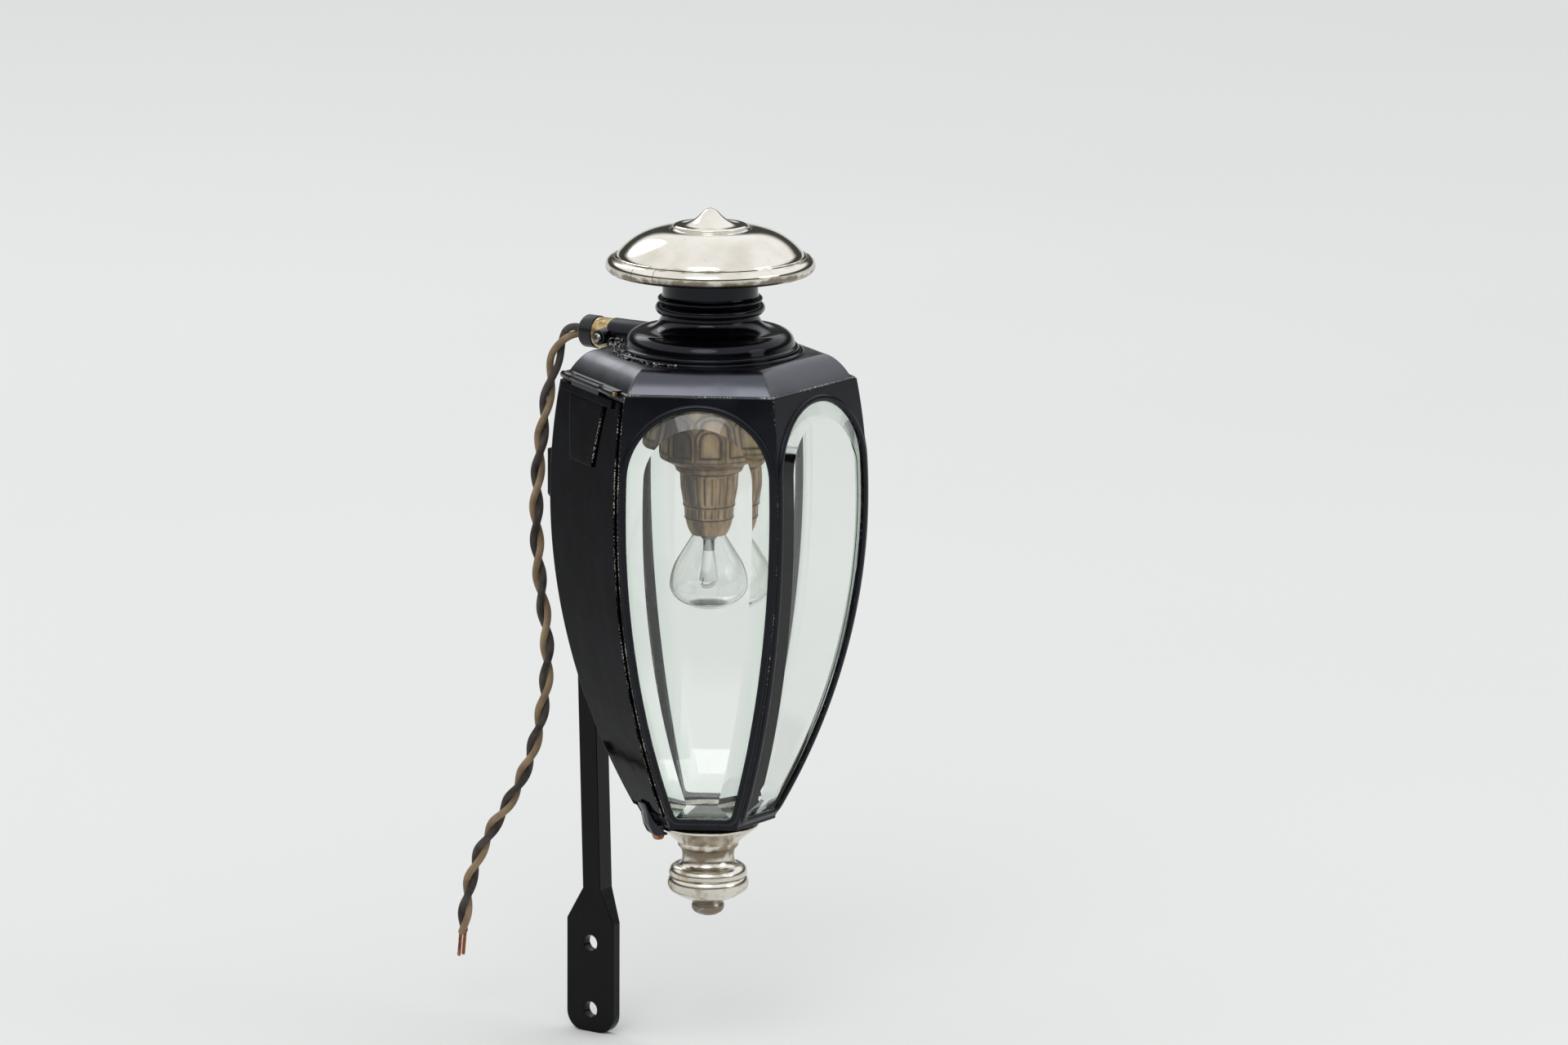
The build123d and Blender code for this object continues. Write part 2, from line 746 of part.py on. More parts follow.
def build():
    hinge_x = side_reach(0) + hinge_out
    flex_tube, path = flex()
    pieces = {
        "cap": cap(),
        "cap_button": cap_button(),
        "chimney": chimney(),
        "roof": roof(),
        "mount_panel": facing(180, side_panel(False, False)),
        "door_frame": facing(door_azimuth, side_panel(True, False)),
        "rear_liner": facing(180, liner()),
        "door": facing(door_azimuth, door()),
        "door_leaf": facing(door_azimuth, door_leaf(hinge_x)),
        "roof_hinge": facing(door_azimuth, fixed_hinge(hinge_x)),
        "hinge_pin": facing(door_azimuth, hinge_pin(hinge_x)),
        "door_catch": facing(door_azimuth, catch()),
        "catch_rivet": facing(door_azimuth, catch_rivet()),
        "gallery": gallery(),
        "bulb_holder": holder(),
        "bulb": bulb(),
        "bulb_stem": bulb_stem(),
        "foot_pan": foot_pan(),
        "finial": finial(),
        "socket_tube": socket_tube(),
        "clamp_screw": clamp_screw(),
        "plug_ring": plug_ring(),
        "plug_cap": plug_cap(),
        "iron_socket": iron_socket(),
        "lamp_iron": lamp_iron(),
        "set_screw": set_screw(),
        "flex": flex_tube,
        "flex_tails": flex_tails(path),
    }
    windows = {"front": 0, "left": -60, "right": 60, "rear": 120}
    for name, azimuth in windows.items():
        pieces[name + "_window"] = facing(azimuth, side_panel(True, True))
        pieces[name + "_glass"] = facing(azimuth, glass_pane())
    return pieces


# The origin is the middle of the palm's two bolt holes, on its mating face
home = Pos(-palm_face(), -iron_centre(), -palm_centre())

for node, piece in build().items():
    export_step(home * piece, f"parts/{node}.step")
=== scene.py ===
import bisect
import cmath
import math

import bmesh
import bpy
from mathutils import Matrix, Quaternion, Vector


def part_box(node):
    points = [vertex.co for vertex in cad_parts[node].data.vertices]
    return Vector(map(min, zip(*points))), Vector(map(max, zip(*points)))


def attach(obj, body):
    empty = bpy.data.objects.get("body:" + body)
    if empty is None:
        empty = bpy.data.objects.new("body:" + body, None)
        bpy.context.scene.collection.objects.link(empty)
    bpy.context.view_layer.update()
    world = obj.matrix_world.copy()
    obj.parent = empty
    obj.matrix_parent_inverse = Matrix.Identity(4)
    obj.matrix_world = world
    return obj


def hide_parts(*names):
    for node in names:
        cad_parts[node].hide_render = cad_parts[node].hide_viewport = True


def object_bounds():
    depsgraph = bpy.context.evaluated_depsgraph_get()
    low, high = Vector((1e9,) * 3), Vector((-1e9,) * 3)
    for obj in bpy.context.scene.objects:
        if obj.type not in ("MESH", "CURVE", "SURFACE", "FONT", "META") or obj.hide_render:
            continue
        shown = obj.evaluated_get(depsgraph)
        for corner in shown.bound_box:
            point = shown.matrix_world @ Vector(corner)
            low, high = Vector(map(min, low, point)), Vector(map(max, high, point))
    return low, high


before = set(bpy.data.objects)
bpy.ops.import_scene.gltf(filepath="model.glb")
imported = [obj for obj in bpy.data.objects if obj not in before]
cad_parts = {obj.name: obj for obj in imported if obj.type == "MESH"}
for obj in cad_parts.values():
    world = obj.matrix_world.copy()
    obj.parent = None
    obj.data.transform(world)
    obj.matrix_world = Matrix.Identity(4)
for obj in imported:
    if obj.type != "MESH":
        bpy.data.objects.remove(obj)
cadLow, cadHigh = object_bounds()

# Shapes are worked out in the lamp's own millimetres: z = 0 at the rim of the six-sided body, forward is -Y.
# homeMatrix takes them to their place, in metres.
milli = 0.001
chimneyLow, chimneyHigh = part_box("chimney")
panelLow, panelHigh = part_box("mount_panel")
panLow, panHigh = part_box("foot_pan")
lampAxis = Vector(((chimneyLow.x + chimneyHigh.x) / 2, (chimneyLow.y + chimneyHigh.y) / 2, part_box("roof")[0].z))
homeMatrix = Matrix.Translation(lampAxis) @ Matrix.Scale(milli, 4)

halfSide = math.tan(math.pi / 6)   # half the width of a side, per unit of its distance from the axis
body = {
    "depth": (lampAxis.z - panelLow.z) * 1000,
    "bulge": (panelHigh.y - lampAxis.y) * 1000,   # widest distance from the axis to a side
    "bulgeDepth": 62.0,
    "footReach": (panHigh.y - panLow.y) * 500,
    "sheet": 1.2,
    "cornerRound": 1.3, "cornerReach": 0.577,   # the rounding's reach along a side, per unit of its radius
}
footTop = -body["depth"]
bowHeight = body["depth"] - body["bulgeDepth"]
bowDrop = body["bulge"] - body["footReach"]
sideArc = (bowHeight ** 2 + bowDrop ** 2) / (2 * bowDrop)   # radius of the bow of each side

# Camera at the photograph's angle
camera = {
    "azimuth": -55.6, "elevation": 11.44, "distance": 4.5, "lens": 200.8, "roll": 0.32, "sight": 60,
    "right": 38.4, "down": 76.8,   # from the middle of the rim to the middle of the picture, mm
}


def addObject(name, data):
    piece = bpy.data.objects.new(name, data)
    bpy.context.scene.collection.objects.link(piece)
    return piece


def makeCamera():
    azimuth, elevation = math.radians(camera["azimuth"]), math.radians(camera["elevation"])
    flat = Vector((math.sin(azimuth), -math.cos(azimuth), 0))
    sideways = Vector((math.cos(azimuth), math.sin(azimuth), 0))
    target = lampAxis + sideways * camera["right"] * milli - Vector((0, 0, camera["down"] * milli))
    away = flat * math.cos(elevation) + Vector((0, 0, math.sin(elevation)))
    data = bpy.data.cameras.new("camera")
    data.lens = camera["lens"]
    data.clip_end = camera["sight"]
    eye = addObject("camera", data)
    eye.location = target + away * camera["distance"]
    eye.rotation_mode = "QUATERNION"
    turn = (target - eye.location).to_track_quat("-Z", "Y")
    eye.rotation_quaternion = turn @ Quaternion((0, 0, 1), math.radians(camera["roll"]))
    bpy.context.scene.camera = eye


makeCamera()
bpy.context.scene.view_settings.view_transform = "Standard"
print("camera placed")


def addNode(tree, kind, inputs=None, output=0, **settings):
    # adds a node with its settings; inputs are constants or sockets to link. It gives the node's output socket.
    node = tree.nodes.new(kind)
    for name, value in settings.items():
        setattr(node, name, value)
    for name, value in (inputs or {}).items():
        if isinstance(value, bpy.types.NodeSocket):
            tree.links.new(value, node.inputs[name])
        else:
            node.inputs[name].default_value = value
    return node.outputs[output] if len(node.outputs) else node


def linearColour(hexText):
    channels = [int(hexText[i:i + 2], 16) / 255 for i in (1, 3, 5)]
    return (*[c / 12.92 if c <= 0.04045 else ((c + 0.055) / 1.055) ** 2.4 for c in channels], 1.0)


# The kinds of node that a row can name: type, the inputs that it fills in order, output, settings.
# Any other kind is the operation of a Math node. A noise's scale is 1000 over the size of its blotches in mm.
kinds = {
    "noise": ("ShaderNodeTexNoise", ("Vector", "Scale", "Detail"), "Fac", {}),
    "stray": ("ShaderNodeTexNoise", ("Vector", "Scale", "Detail"), "Color", {}),
    "range": ("ShaderNodeMapRange", ("Value", "From Min", "From Max", "To Min", "To Max"), "Result", {}),
    "ease": ("ShaderNodeMapRange", ("Value", "From Min", "From Max"), "Result", {"interpolation_type": "SMOOTHSTEP"}),
    "mix": ("ShaderNodeMix", (0, 6, 7), 2, {"data_type": "RGBA"}),
    "bump": ("ShaderNodeBump", ("Height", "Strength", "Distance", "Normal"), 0, {}),
    "turn": ("ShaderNodeMapping", ("Vector", "Rotation"), 0, {}),
    "stretch": ("ShaderNodeMapping", ("Vector", "Scale"), 0, {}),
    "threads": ("ShaderNodeTexWave", ("Vector", "Scale"), "Fac", {}),
    "edgeWearAndHighlight": ("ShaderNodeAttribute", (), "Fac", {"attribute_name": "edgeWearAndHighlight"}),
    "tintAndPaintedReflection": ("ShaderNodeAttribute", (), "Fac", {"attribute_name": "tintAndPaintedReflection"}),
    "plait": ("ShaderNodeUVMap", (), "UV", {"uv_map": "plait"}),
    "generated": ("ShaderNodeTexCoord", (), "Generated", {}),
    "height": ("ShaderNodeSeparateXYZ", ("Vector",), "Z", {}),
    "shift": ("ShaderNodeVectorMath", (0, 1, 2), 0, {"operation": "MULTIPLY_ADD"}),
    "dot": ("ShaderNodeVectorMath", (0, 1), "Value", {"operation": "DOT_PRODUCT"}),
    "shadowRay": ("ShaderNodeLightPath", (), "Is Shadow Ray", {}),
    "clear": ("ShaderNodeBsdfTransparent", ("Color",), 0, {}),
    "mixShader": ("ShaderNodeMixShader", (0, 1, 2), 0, {}),
}


def meaning(value, known):
    # a text stands for a colour or for the node of that label
    if not isinstance(value, str):
        return value
    return linearColour(value) if value.startswith("#") else known[value]


def addNodes(tree, known, rows):
    # a row is a label, a kind and its inputs; known holds the socket of each label and grows by the rows
    for label, kind, *values in rows:
        nodeType, names, output, settings = kinds.get(kind, ("ShaderNodeMath", (0, 1, 2), 0, {"operation": kind}))
        inputs = {name: meaning(value, known) for name, value in zip(names, values)}
        known[label] = addNode(tree, nodeType, inputs, output, **settings)
    return known


def makeMaterial(name, constants, rows):
    # a Principled shader with its constants on its own sockets; a row labelled as a socket drives that socket
    material = bpy.data.materials.new(name)
    material.use_nodes = True
    tree = material.node_tree
    shader = tree.nodes["Principled BSDF"]
    for socket, value in constants.items():
        shader.inputs[socket].default_value = meaning(value, {})
    place = addNode(tree, "ShaderNodeTexCoord", None, "Object")
    known = addNodes(tree, {"place": place, "shader": shader.outputs["BSDF"]}, rows)
    for socket in (*shader.inputs, tree.nodes["Material Output"].inputs["Surface"]):
        if socket.name in known:
            tree.links.new(known[socket.name], socket)
    return material


def makeEnamel(name, shine, gloss, waveDepth):
    # black stoving enamel on tinplate: deep wet gloss, a faint ripple, wiped smears, dust and pale chips along edges
    return makeMaterial(name, {
        "IOR": 1.5, "Specular IOR Level": gloss, "Specular Tint": "#E6E9F7"}, [
        # smears left by wiping, a little greyer and duller
        ("smear", "noise", "place", 1000 / 26, 5),
        ("smear", "range", "smear", 0.42, 0.68),
        ("Base Color", "mix", "smear", "#030306", "#0A0B10"),
        # dust lies in patches
        ("dust", "noise", "place", 1000 / 0.9, 2),
        ("dust", "range", "dust", 0.7, 0.77, 0, 0.35),
        ("patch", "noise", "place", 1000 / 15, 3),
        ("patch", "range", "patch", 0.42, 0.6),
        ("dusty", "MULTIPLY", "dust", "patch"),
        ("Base Color", "mix", "dusty", "Base Color", "#6F6D68"),
        # flakes lost along the edges, where the shape says that they wear; along the roof's ledge and the door strap's
        # edges these pale flakes are a painted highlight
        ("edge", "edgeWearAndHighlight"),
        ("flake", "noise", "place", 1000 / 0.6, 6),
        ("worn", "MULTIPLY_ADD", "patch", 0.11, "flake"),
        ("worn", "MULTIPLY_ADD", "edge", 0.27, "worn"),
        ("chip", "range", "worn", 0.84, 0.9),
        ("bareTin", "mix", "patch", "#85745F", "#C4C0B7"),
        ("Base Color", "mix", "chip", "Base Color", "bareTin"),
        ("Roughness", "range", "smear", 0, 1, shine, shine + 0.1),
        ("Roughness", "MULTIPLY_ADD", "chip", 0.4, "Roughness"),
        ("ripple", "noise", "place", 1000 / 2.6, 1),
        ("Normal", "bump", "ripple", 0.25, 0.00002),
        ("wave", "noise", "place", 1000 / 17, 1),
        ("Normal", "bump", "wave", 0.5, waveDepth * milli, "Normal"),
    ])


cracks = {"azimuths": (-103.6, -88.2), "height": 58.6, "reach": 4.0, "wide": 0.16, "stray": 0.9}   # on the cap, mm


def makeNickel(name, worn, dull):
    # buffed nickel plate on brass: warm silver mirror with polishing hairlines, yellow where it has worn through
    rows = [
        ("cloud", "noise", "place", 1000 / 20, 5),
        ("cloud", "range", "cloud", 0.4, 0.7),
        ("Base Color", "mix", "cloud", "#E2DDD3", "#CFC8BB"),
        # brown tarnish where the shape says that it is never polished; under the cap's bead the same brown is a painted
        # reflection
        ("tintAndPaintedReflection", "tintAndPaintedReflection"),
        ("stainAndPaintedReflection", "noise", "place", 1000 / 8, 6),
        ("stainAndPaintedReflection", "MULTIPLY_ADD", "tintAndPaintedReflection", 0.35, "stainAndPaintedReflection"),
        ("stainAndPaintedReflection", "range", "stainAndPaintedReflection", 0.66 - worn, 0.84 - worn, 0, 0.8),
        ("brown", "mix", "tintAndPaintedReflection", "#8E7850", "#54442F"),
        ("Base Color", "mix", "stainAndPaintedReflection", "Base Color", "brown"),
        ("hair", "stretch", "place", (1, 1, 12)),
        ("hair", "noise", "hair", 1000 / 3, 6),
        ("Roughness", "range", "hair", 0.3, 0.7, 0.05 + dull, 0.12 + dull),
        ("Roughness", "MULTIPLY_ADD", "stainAndPaintedReflection", 0.22, "Roughness"),
        ("dent", "noise", "place", 1000 / 13, 1),
        ("Normal", "bump", "dent", 0.3, 0.00006),
        ("Normal", "bump", "hair", 0.1, 0.00001, "Normal"),
    ]
    # two fine cracks run down through the plating on the rim of the cap
    stray = cracks["stray"] * milli
    rows += [
        ("ragged", "stray", "place", 1000 / 2.5, 3),
        ("ragged", "shift", "ragged", (stray, stray, stray), "place"),
        ("rim", "height", "place"),
        ("rim", "COMPARE", "rim", lampAxis.z + cracks["height"] * milli, cracks["reach"] * milli),
    ]
    for azimuth in map(math.radians, cracks["azimuths"]):
        across = Vector((math.cos(azimuth), math.sin(azimuth), 0))
        rows += [
            ("cut", "dot", "ragged", across),
            ("cut", "COMPARE", "cut", across.dot(lampAxis) + stray * (across.x + across.y) / 2, cracks["wide"] * milli),
            ("cut", "MULTIPLY", "cut", "rim"),
            ("Base Color", "mix", "cut", "Base Color", "#1C150E"),
        ]
    return makeMaterial(name, {"Metallic": 1.0}, rows)


def makeHandledMetal(name, bright, dull, low, high):
    # drawn brass, copper or lead wire, handled and blotched by fingers
    return makeMaterial(name, {"Metallic": 1.0}, [
        ("film", "noise", "place", 320, 5),
        ("film", "range", "film", 0.42, 0.66),
        ("Base Color", "mix", "film", bright, dull),
        ("Roughness", "range", "film", 0, 1, low, high),
        ("Normal", "bump", "film", 0.3, 0.00003),
    ])


def makeGlass(name, clearTint, rimTintAndPaintedSpot, ior, film, through=1.0):
    # clear glass: sharp refraction, a wiped film of dirt, and lamps reach what stands behind it; the masked tint is
    # green towards a pane's ground rim and a painted dark reflection at the bulb's tip
    return makeMaterial(name, {"Transmission Weight": through, "IOR": ior}, [
        ("edge", "tintAndPaintedReflection"),
        ("Base Color", "mix", "edge", clearTint, rimTintAndPaintedSpot),
        ("dirt", "noise", "place", 85, 5),
        ("Roughness", "range", "dirt", 0.55, 0.8, 0, film),
        ("clear", "clear", clearTint),
        ("shadow", "shadowRay"),
        ("Surface", "mixShader", "shadow", "shader", "clear"),
    ])


def makeCotton(name, base, shadeColour, light):
    # cotton braid over rubber: matt, ribbed by its plait of 0.5 mm threads, faded outside, with painted shade between
    # the threads
    return makeMaterial(name, {
        "Roughness": 0.82, "Sheen Weight": 0.3, "Sheen Roughness": 0.5, "Sheen Tint": light}, [
        ("plait", "plait"),
        ("weave", "turn", "plait", (0, 0, 0.8)),
        ("weave", "threads", "weave", 0.6),
        ("back", "turn", "plait", (0, 0, -0.8)),
        ("back", "threads", "back", 0.6),
        ("weave", "MAXIMUM", "weave", "back"),
        ("fade", "noise", "place", 1000 / 10, 4),
        ("fade", "range", "fade", 0.38, 0.64),
        ("Base Color", "mix", "fade", base, light),
        # painted shade between the threads
        ("paintedShadeBetweenThreads", "range", "weave", 0.35, 0.9, 0.8, 0),
        ("Base Color", "mix", "paintedShadeBetweenThreads", "Base Color", shadeColour),
        ("Normal", "bump", "weave", 0.9, 0.00025),
    ])


blackEnamel = makeEnamel("black enamel", 0.08, 0.3, 0.22)
sideEnamel = makeEnamel("enamel on the sides", 0.24, 0.28, 0.22)
doorEnamel = makeEnamel("enamel on the door", 0.06, 0.015, 0.3)
roofEnamel = makeEnamel("enamel on the roof", 0.2, 1.15, 0.3)
brushedEnamel = makeEnamel("brushed enamel", 0.04, 0.5, 0.4)
# lumpy solder with the black paint rubbed thin in patches: bright tin in some, black in others
paintedSolder = makeMaterial("painted solder", {"IOR": 1.5, "Specular IOR Level": 1.0}, [
    ("thin", "noise", "place", 420, 4),
    ("Metallic", "range", "thin", 0.53, 0.66),
    ("Base Color", "mix", "Metallic", "#08080A", "#B9B7B1"),
    ("Roughness", "range", "Metallic", 0, 1, 0.07, 0.24),
    ("crust", "noise", "place", 900, 2),
    ("Normal", "bump", "crust", 0.4, 0.00006),
])
nickel = makeNickel("nickel plate", 0.0, 0.0)
wornNickel = makeNickel("worn nickel plate", 0.1, 0.1)
# spun brass left to darken: tan film, dull gold rubbed through on high spots, grime in the hollows
tarnishedBrass = makeMaterial("tarnished brass", {"Metallic": 0.75}, [
    ("streak", "stretch", "place", (1, 1, 0.2)),
    ("streak", "noise", "streak", 1000 / 3.2, 6),
    ("streak", "range", "streak", 0.36, 0.64),
    ("Base Color", "mix", "streak", "#B39876", "#84684A"),
    ("rubbed", "noise", "place", 1000 / 6, 4),
    ("rubbed", "range", "rubbed", 0.5, 0.7, 0, 0.5),
    ("Base Color", "mix", "rubbed", "Base Color", "#BB9A68"),
    ("tintAndPaintedReflection", "tintAndPaintedReflection"),
    ("Base Color", "mix", "tintAndPaintedReflection", "Base Color", "#241A11"),
    ("Roughness", "range", "streak", 0, 1, 0.34, 0.52),
    ("Normal", "bump", "streak", 0.5, 0.00005),
])
brass = makeHandledMetal("drawn brass", "#BCA679", "#7C6647", 0.26, 0.44)
copper = makeHandledMetal("drawn copper", "#B0735A", "#61392A", 0.26, 0.45)
leadWire = makeHandledMetal("lead wire", "#77736C", "#3D3A36", 0.3, 0.5)
screwSteel = makeHandledMetal("screw steel", "#A19D95", "#2C2A28", 0.2, 0.42)
plateGlass = makeGlass("plate glass", "#FAFCFA", "#DDEEE2", 1.52, 0.03)
# the bulb glass's dark tint is a painted dark reflection at its tip
bulbGlass = makeGlass("blown glass", "#FBFCFB", "#454B48", 1.5, 0.02)
# the flare's milky white is a painted highlight: the pressed glass is clear
stemGlass = makeGlass("pressed glass", "#FFFFFF", "#C9CFCC", 1.5, 0.3, 0.12)   # milky
# silvered sheet gone dull: soft mirror with brown bloom and scuffs
silvered = makeMaterial("silvered sheet", {"Metallic": 1.0}, [
    ("bloom", "noise", "place", 90, 6),
    ("bloom", "range", "bloom", 0.45, 0.68),
    ("scuff", "noise", "place", 380, 5),
    ("scuff", "range", "scuff", 0.56, 0.72, 0, 0.35),
    ("Base Color", "mix", "bloom", "#E2DFD8", "#BDB39D"),
    ("Base Color", "mix", "scuff", "Base Color", "#7A6F5B"),
    ("Roughness", "range", "bloom", 0, 1, 0.14, 0.34),
    ("dent", "noise", "place", 140, 3),
    ("Normal", "bump", "dent", 0.5, 0.00004),
])
# brushed black paint on forged iron: satin, with the hammered surface under it
ironPaint = makeMaterial("painted iron", {"IOR": 1.5, "Specular IOR Level": 0.15}, [
    ("forged", "noise", "place", 110, 3),
    ("drag", "stretch", "place", (1, 1, 0.06)),
    ("drag", "noise", "drag", 700, 2),
    ("Base Color", "mix", "forged", "#040405", "#0C0C0E"),
    ("Roughness", "range", "drag", 0.35, 0.7, 0.16, 0.3),
    ("Normal", "bump", "forged", 0.5, 0.00025),
    ("Normal", "bump", "drag", 0.2, 0.00003, "Normal"),
])
# moulded vulcanised fibre: blue black, soft sheen, fine pits
fibre = makeMaterial("vulcanised fibre", {"IOR": 1.5, "Specular IOR Level": 0.4}, [
    ("pit", "noise", "place", 1000, 4),
    ("pit", "range", "pit", 0.35, 0.7),
    ("Base Color", "mix", "pit", "#07070D", "#15151E"),
    ("Roughness", "range", "pit", 0, 1, 0.22, 0.38),
    ("Normal", "bump", "pit", 0.4, 0.00003),
])
tanCotton = makeCotton("tan cotton braid", "#8E775D", "#3E3127", "#B59D79")
brownCotton = makeCotton("brown cotton braid", "#332C28", "#12100E", "#5F5852")
print("materials made")


def curveThrough(start, middle, end, count):
    # points of the circle through three points, the start left out
    a, b, c = (complex(*point) for point in (start, middle, end))
    share = (c - a) / (b - a)
    heart = a + (b - a) * (share - abs(share) ** 2) / (2j * share.imag)
    first, toMiddle, toEnd = (cmath.phase(point - heart) for point in (a, b, c))
    toMiddle, toEnd = (toMiddle - first) % (2 * math.pi), (toEnd - first) % (2 * math.pi)
    sweep = toEnd if toMiddle < toEnd else toEnd - 2 * math.pi
    points = [heart + cmath.rect(abs(a - heart), first + sweep * k / count) for k in range(1, count + 1)]
    return [(point.real, point.imag) for point in points]


def bezier(controls, count):
    # points of the curve that these points control, its start included
    order = len(controls) - 1
    points = []
    for k in range(count + 1):
        t = k / count
        weights = [math.comb(order, i) * (1 - t) ** (order - i) * t ** i for i in range(order + 1)]
        points.append(tuple(sum(w * p[axis] for w, p in zip(weights, controls)) for axis in (0, 1)))
    return points


def section(steps):
    # outline from points (r, z), rounded corners (r, z, rounding) and arcs (middle r, middle z, end r, end z)
    path = []
    for step in steps:
        if len(step) == 4:
            path += [(*point, 0.0) for point in curveThrough(path[-1][:2], step[:2], step[2:], 14)]
        else:
            path.append((*step, 0.0)[:3])
    points = []
    for i, (x, z, rounding) in enumerate(path):
        if rounding <= 0 or i in (0, len(path) - 1):
            points.append((x, z))
            continue
        here = Vector((x, z))
        back, ahead = Vector(path[i - 1][:2]) - here, Vector(path[i + 1][:2]) - here
        reach = min(rounding, 0.48 * back.length, 0.48 * ahead.length)
        points += bezier([here + back.normalized() * reach, here, here + ahead.normalized() * reach], 5)
    return points


def fine(outline, step):
    # the same outline with no run longer than the step
    points = [outline[0]]
    for a, b in zip(outline, outline[1:]):
        count = max(1, math.ceil(math.dist(a, b) / step))
        points += [(a[0] + (b[0] - a[0]) * k / count, a[1] + (b[1] - a[1]) * k / count) for k in range(1, count + 1)]
    return points


def shell(rings, layerName=None, closed=False):
    # faces between neighbouring rings of places (x, y, z, the layer's value); a ring may be one point
    shape = bmesh.new()
    layer = shape.verts.layers.float.new(layerName) if layerName else None
    loops = []
    for ring in rings:
        loops.append([shape.verts.new(place[:3]) for place in ring])
        for corner, place in zip(loops[-1], ring if layerName else ()):
            corner[layer] = place[3]
    for first, second in zip(loops, loops[1:] + loops[:1] * closed):
        count = max(len(first), len(second))
        for i in range(count if count > 1 else 0):
            j = (i + 1) % count
            corners = [loop[k % len(loop)] for loop, k in ((first, i), (first, j), (second, j), (second, i))]
            shape.faces.new(list(dict.fromkeys(corners)))
    return shape, loops


def spin(outline, segments, warp=None):
    # turned shape; it closes where the outline ends at its start. warp(angle, radius, height) gives radius and a tint,
    # which on the cap's underside and the bulb's tip is a painted reflection
    closed = math.dist(outline[0], outline[-1]) < 1e-6
    rings = []
    for radius, height in outline[:-1] if closed else outline:
        onAxis = radius < 0.001
        ring = []
        for angle in (2 * math.pi * i / segments for i in range(1 if onAxis else segments)):
            wide, dirt = warp(angle, radius, height) if warp and not onAxis else (radius, 0.0)
            ring.append((wide * math.cos(angle), wide * math.sin(angle), height, dirt))
        rings.append(ring)
    return shell(rings, "tintAndPaintedReflection" if warp else None, closed)[0]


def dress(piece, bodyName, replaced=()):
    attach(piece, bodyName)
    if replaced:
        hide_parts(*replaced)
    return piece


def keepPiece(name, shape, material, crease, replaced=(), turn=None, bodyName="lamp", flatAbove=1e9):
    # a piece of the lamp from a shape in lamp millimetres; faces wider than flatAbove stay flat
    if turn:
        shape.transform(turn)
    shape.transform(homeMatrix)
    bmesh.ops.recalc_face_normals(shape, faces=shape.faces[:])
    for face in shape.faces:
        face.smooth = face.calc_area() * 1000 < flatAbove * face.calc_perimeter()
    for edge in shape.edges:
        edge.smooth = not (edge.is_manifold and edge.calc_face_angle(0) > math.radians(crease))
    mesh = bpy.data.meshes.new(name)
    shape.to_mesh(mesh)
    shape.free()
    mesh.materials.append(material)
    return dress(addObject(name, mesh), bodyName, replaced)


def turned(name, outline, segments, material, crease, replaced=(), warp=None, turn=None, bodyName="lamp"):
    return keepPiece(name, spin(section(outline), segments, warp), material, crease, replaced, turn, bodyName)


def roundEdges(shape, edges, width):
    bmesh.ops.bevel(shape, geom=edges, offset=width, segments=3, profile=0.5, affect="EDGES", clamp_overlap=True)


softening = {"double": 2e-6, "flat": math.radians(0.6), "sharp": math.radians(32), "wide": 0.8}


def softened(node, name, material, width):
    # a piece of plain shape with its sharp edges rounded
    shape = bmesh.new()
    shape.from_mesh(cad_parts[node].data)
    bmesh.ops.remove_doubles(shape, verts=shape.verts[:], dist=softening["double"])
    shape.transform(homeMatrix.inverted())
    bmesh.ops.dissolve_limit(shape, angle_limit=softening["flat"], verts=shape.verts[:], edges=shape.edges[:])
    sharp = [edge for edge in shape.edges if edge.is_manifold and edge.calc_face_angle(0) > softening["sharp"]]
    roundEdges(shape, sharp, width)
    return keepPiece(name, shape, material, 30.0, (node,), flatAbove=softening["wide"])


def sideReach(z, inset=0.0):
    # distance from the axis to a side at height z, a given depth below its skin
    return body["bulge"] - sideArc + math.sqrt((sideArc - inset) ** 2 - (z + body["bulgeDepth"]) ** 2)


def facing(azimuth, *offset):
    # turns a shape that faces +X, moved by the offset, to the azimuth: 0 is forward, -90 is the left
    return Matrix.Rotation(math.radians(azimuth - 90), 4, "Z") @ Matrix.Translation(offset or (0, 0, 0))


# Flex: a twisted pair that follows the smooth line of these points
flex = {
    "diameter": 0.0077, "length": 0.359,
    "route": [
        (0.0, 78.4, 15.2), (0.0, 87.6, 15.2), (0.3, 95.6, 7.0), (0.6, 100.4, -9.0),
        (0.9, 107.0, -38.0), (0.5, 111.2, -78.0), (-0.4, 108.4, -118.0), (-0.8, 101.0, -156.0),
        (-0.2, 106.4, -196.0), (0.2, 120.4, -232.0), (-0.8, 144.5, -266.0), (-1.4, 155.0, -294.0),
        (-1.5, 157.2, -318.0),
    ],
    "tail": 12.0, "root": 2.0, "wires": 7,   # the bared ends, mm
}
strandInputs = {
    "Strand radius": 0.0019, "Winding radius": 0.0019, "Top pitch": 0.064, "Lower pitch": 0.036, "Settles": 0.045,
    "Loose": 0.22, "Loose at": 0.026, "Phase": 0.0, "Step": 0.0009, "Sides": 18, "Material": tanCotton,
}
tailInputs = {
    **strandInputs, "Strand radius": 0.00034, "Winding radius": 0.00066, "Top pitch": 0.015, "Lower pitch": 0.015,
    "Loose": 0.0, "Sides": 6, "Material": copper,
}
wireInputs = {
    **strandInputs, "Winding radius": 0.0, "Top pitch": 1.0, "Lower pitch": 1.0, "Settles": 1.0, "Loose": 0.0,
    "Loose at": 1.0, "Step": 0.0006, "Sides": 8, "Material": leadWire,
}


def bakedMesh(piece):
    bpy.context.view_layer.update()
    return bpy.data.meshes.new_from_object(piece.evaluated_get(bpy.context.evaluated_depsgraph_get()))


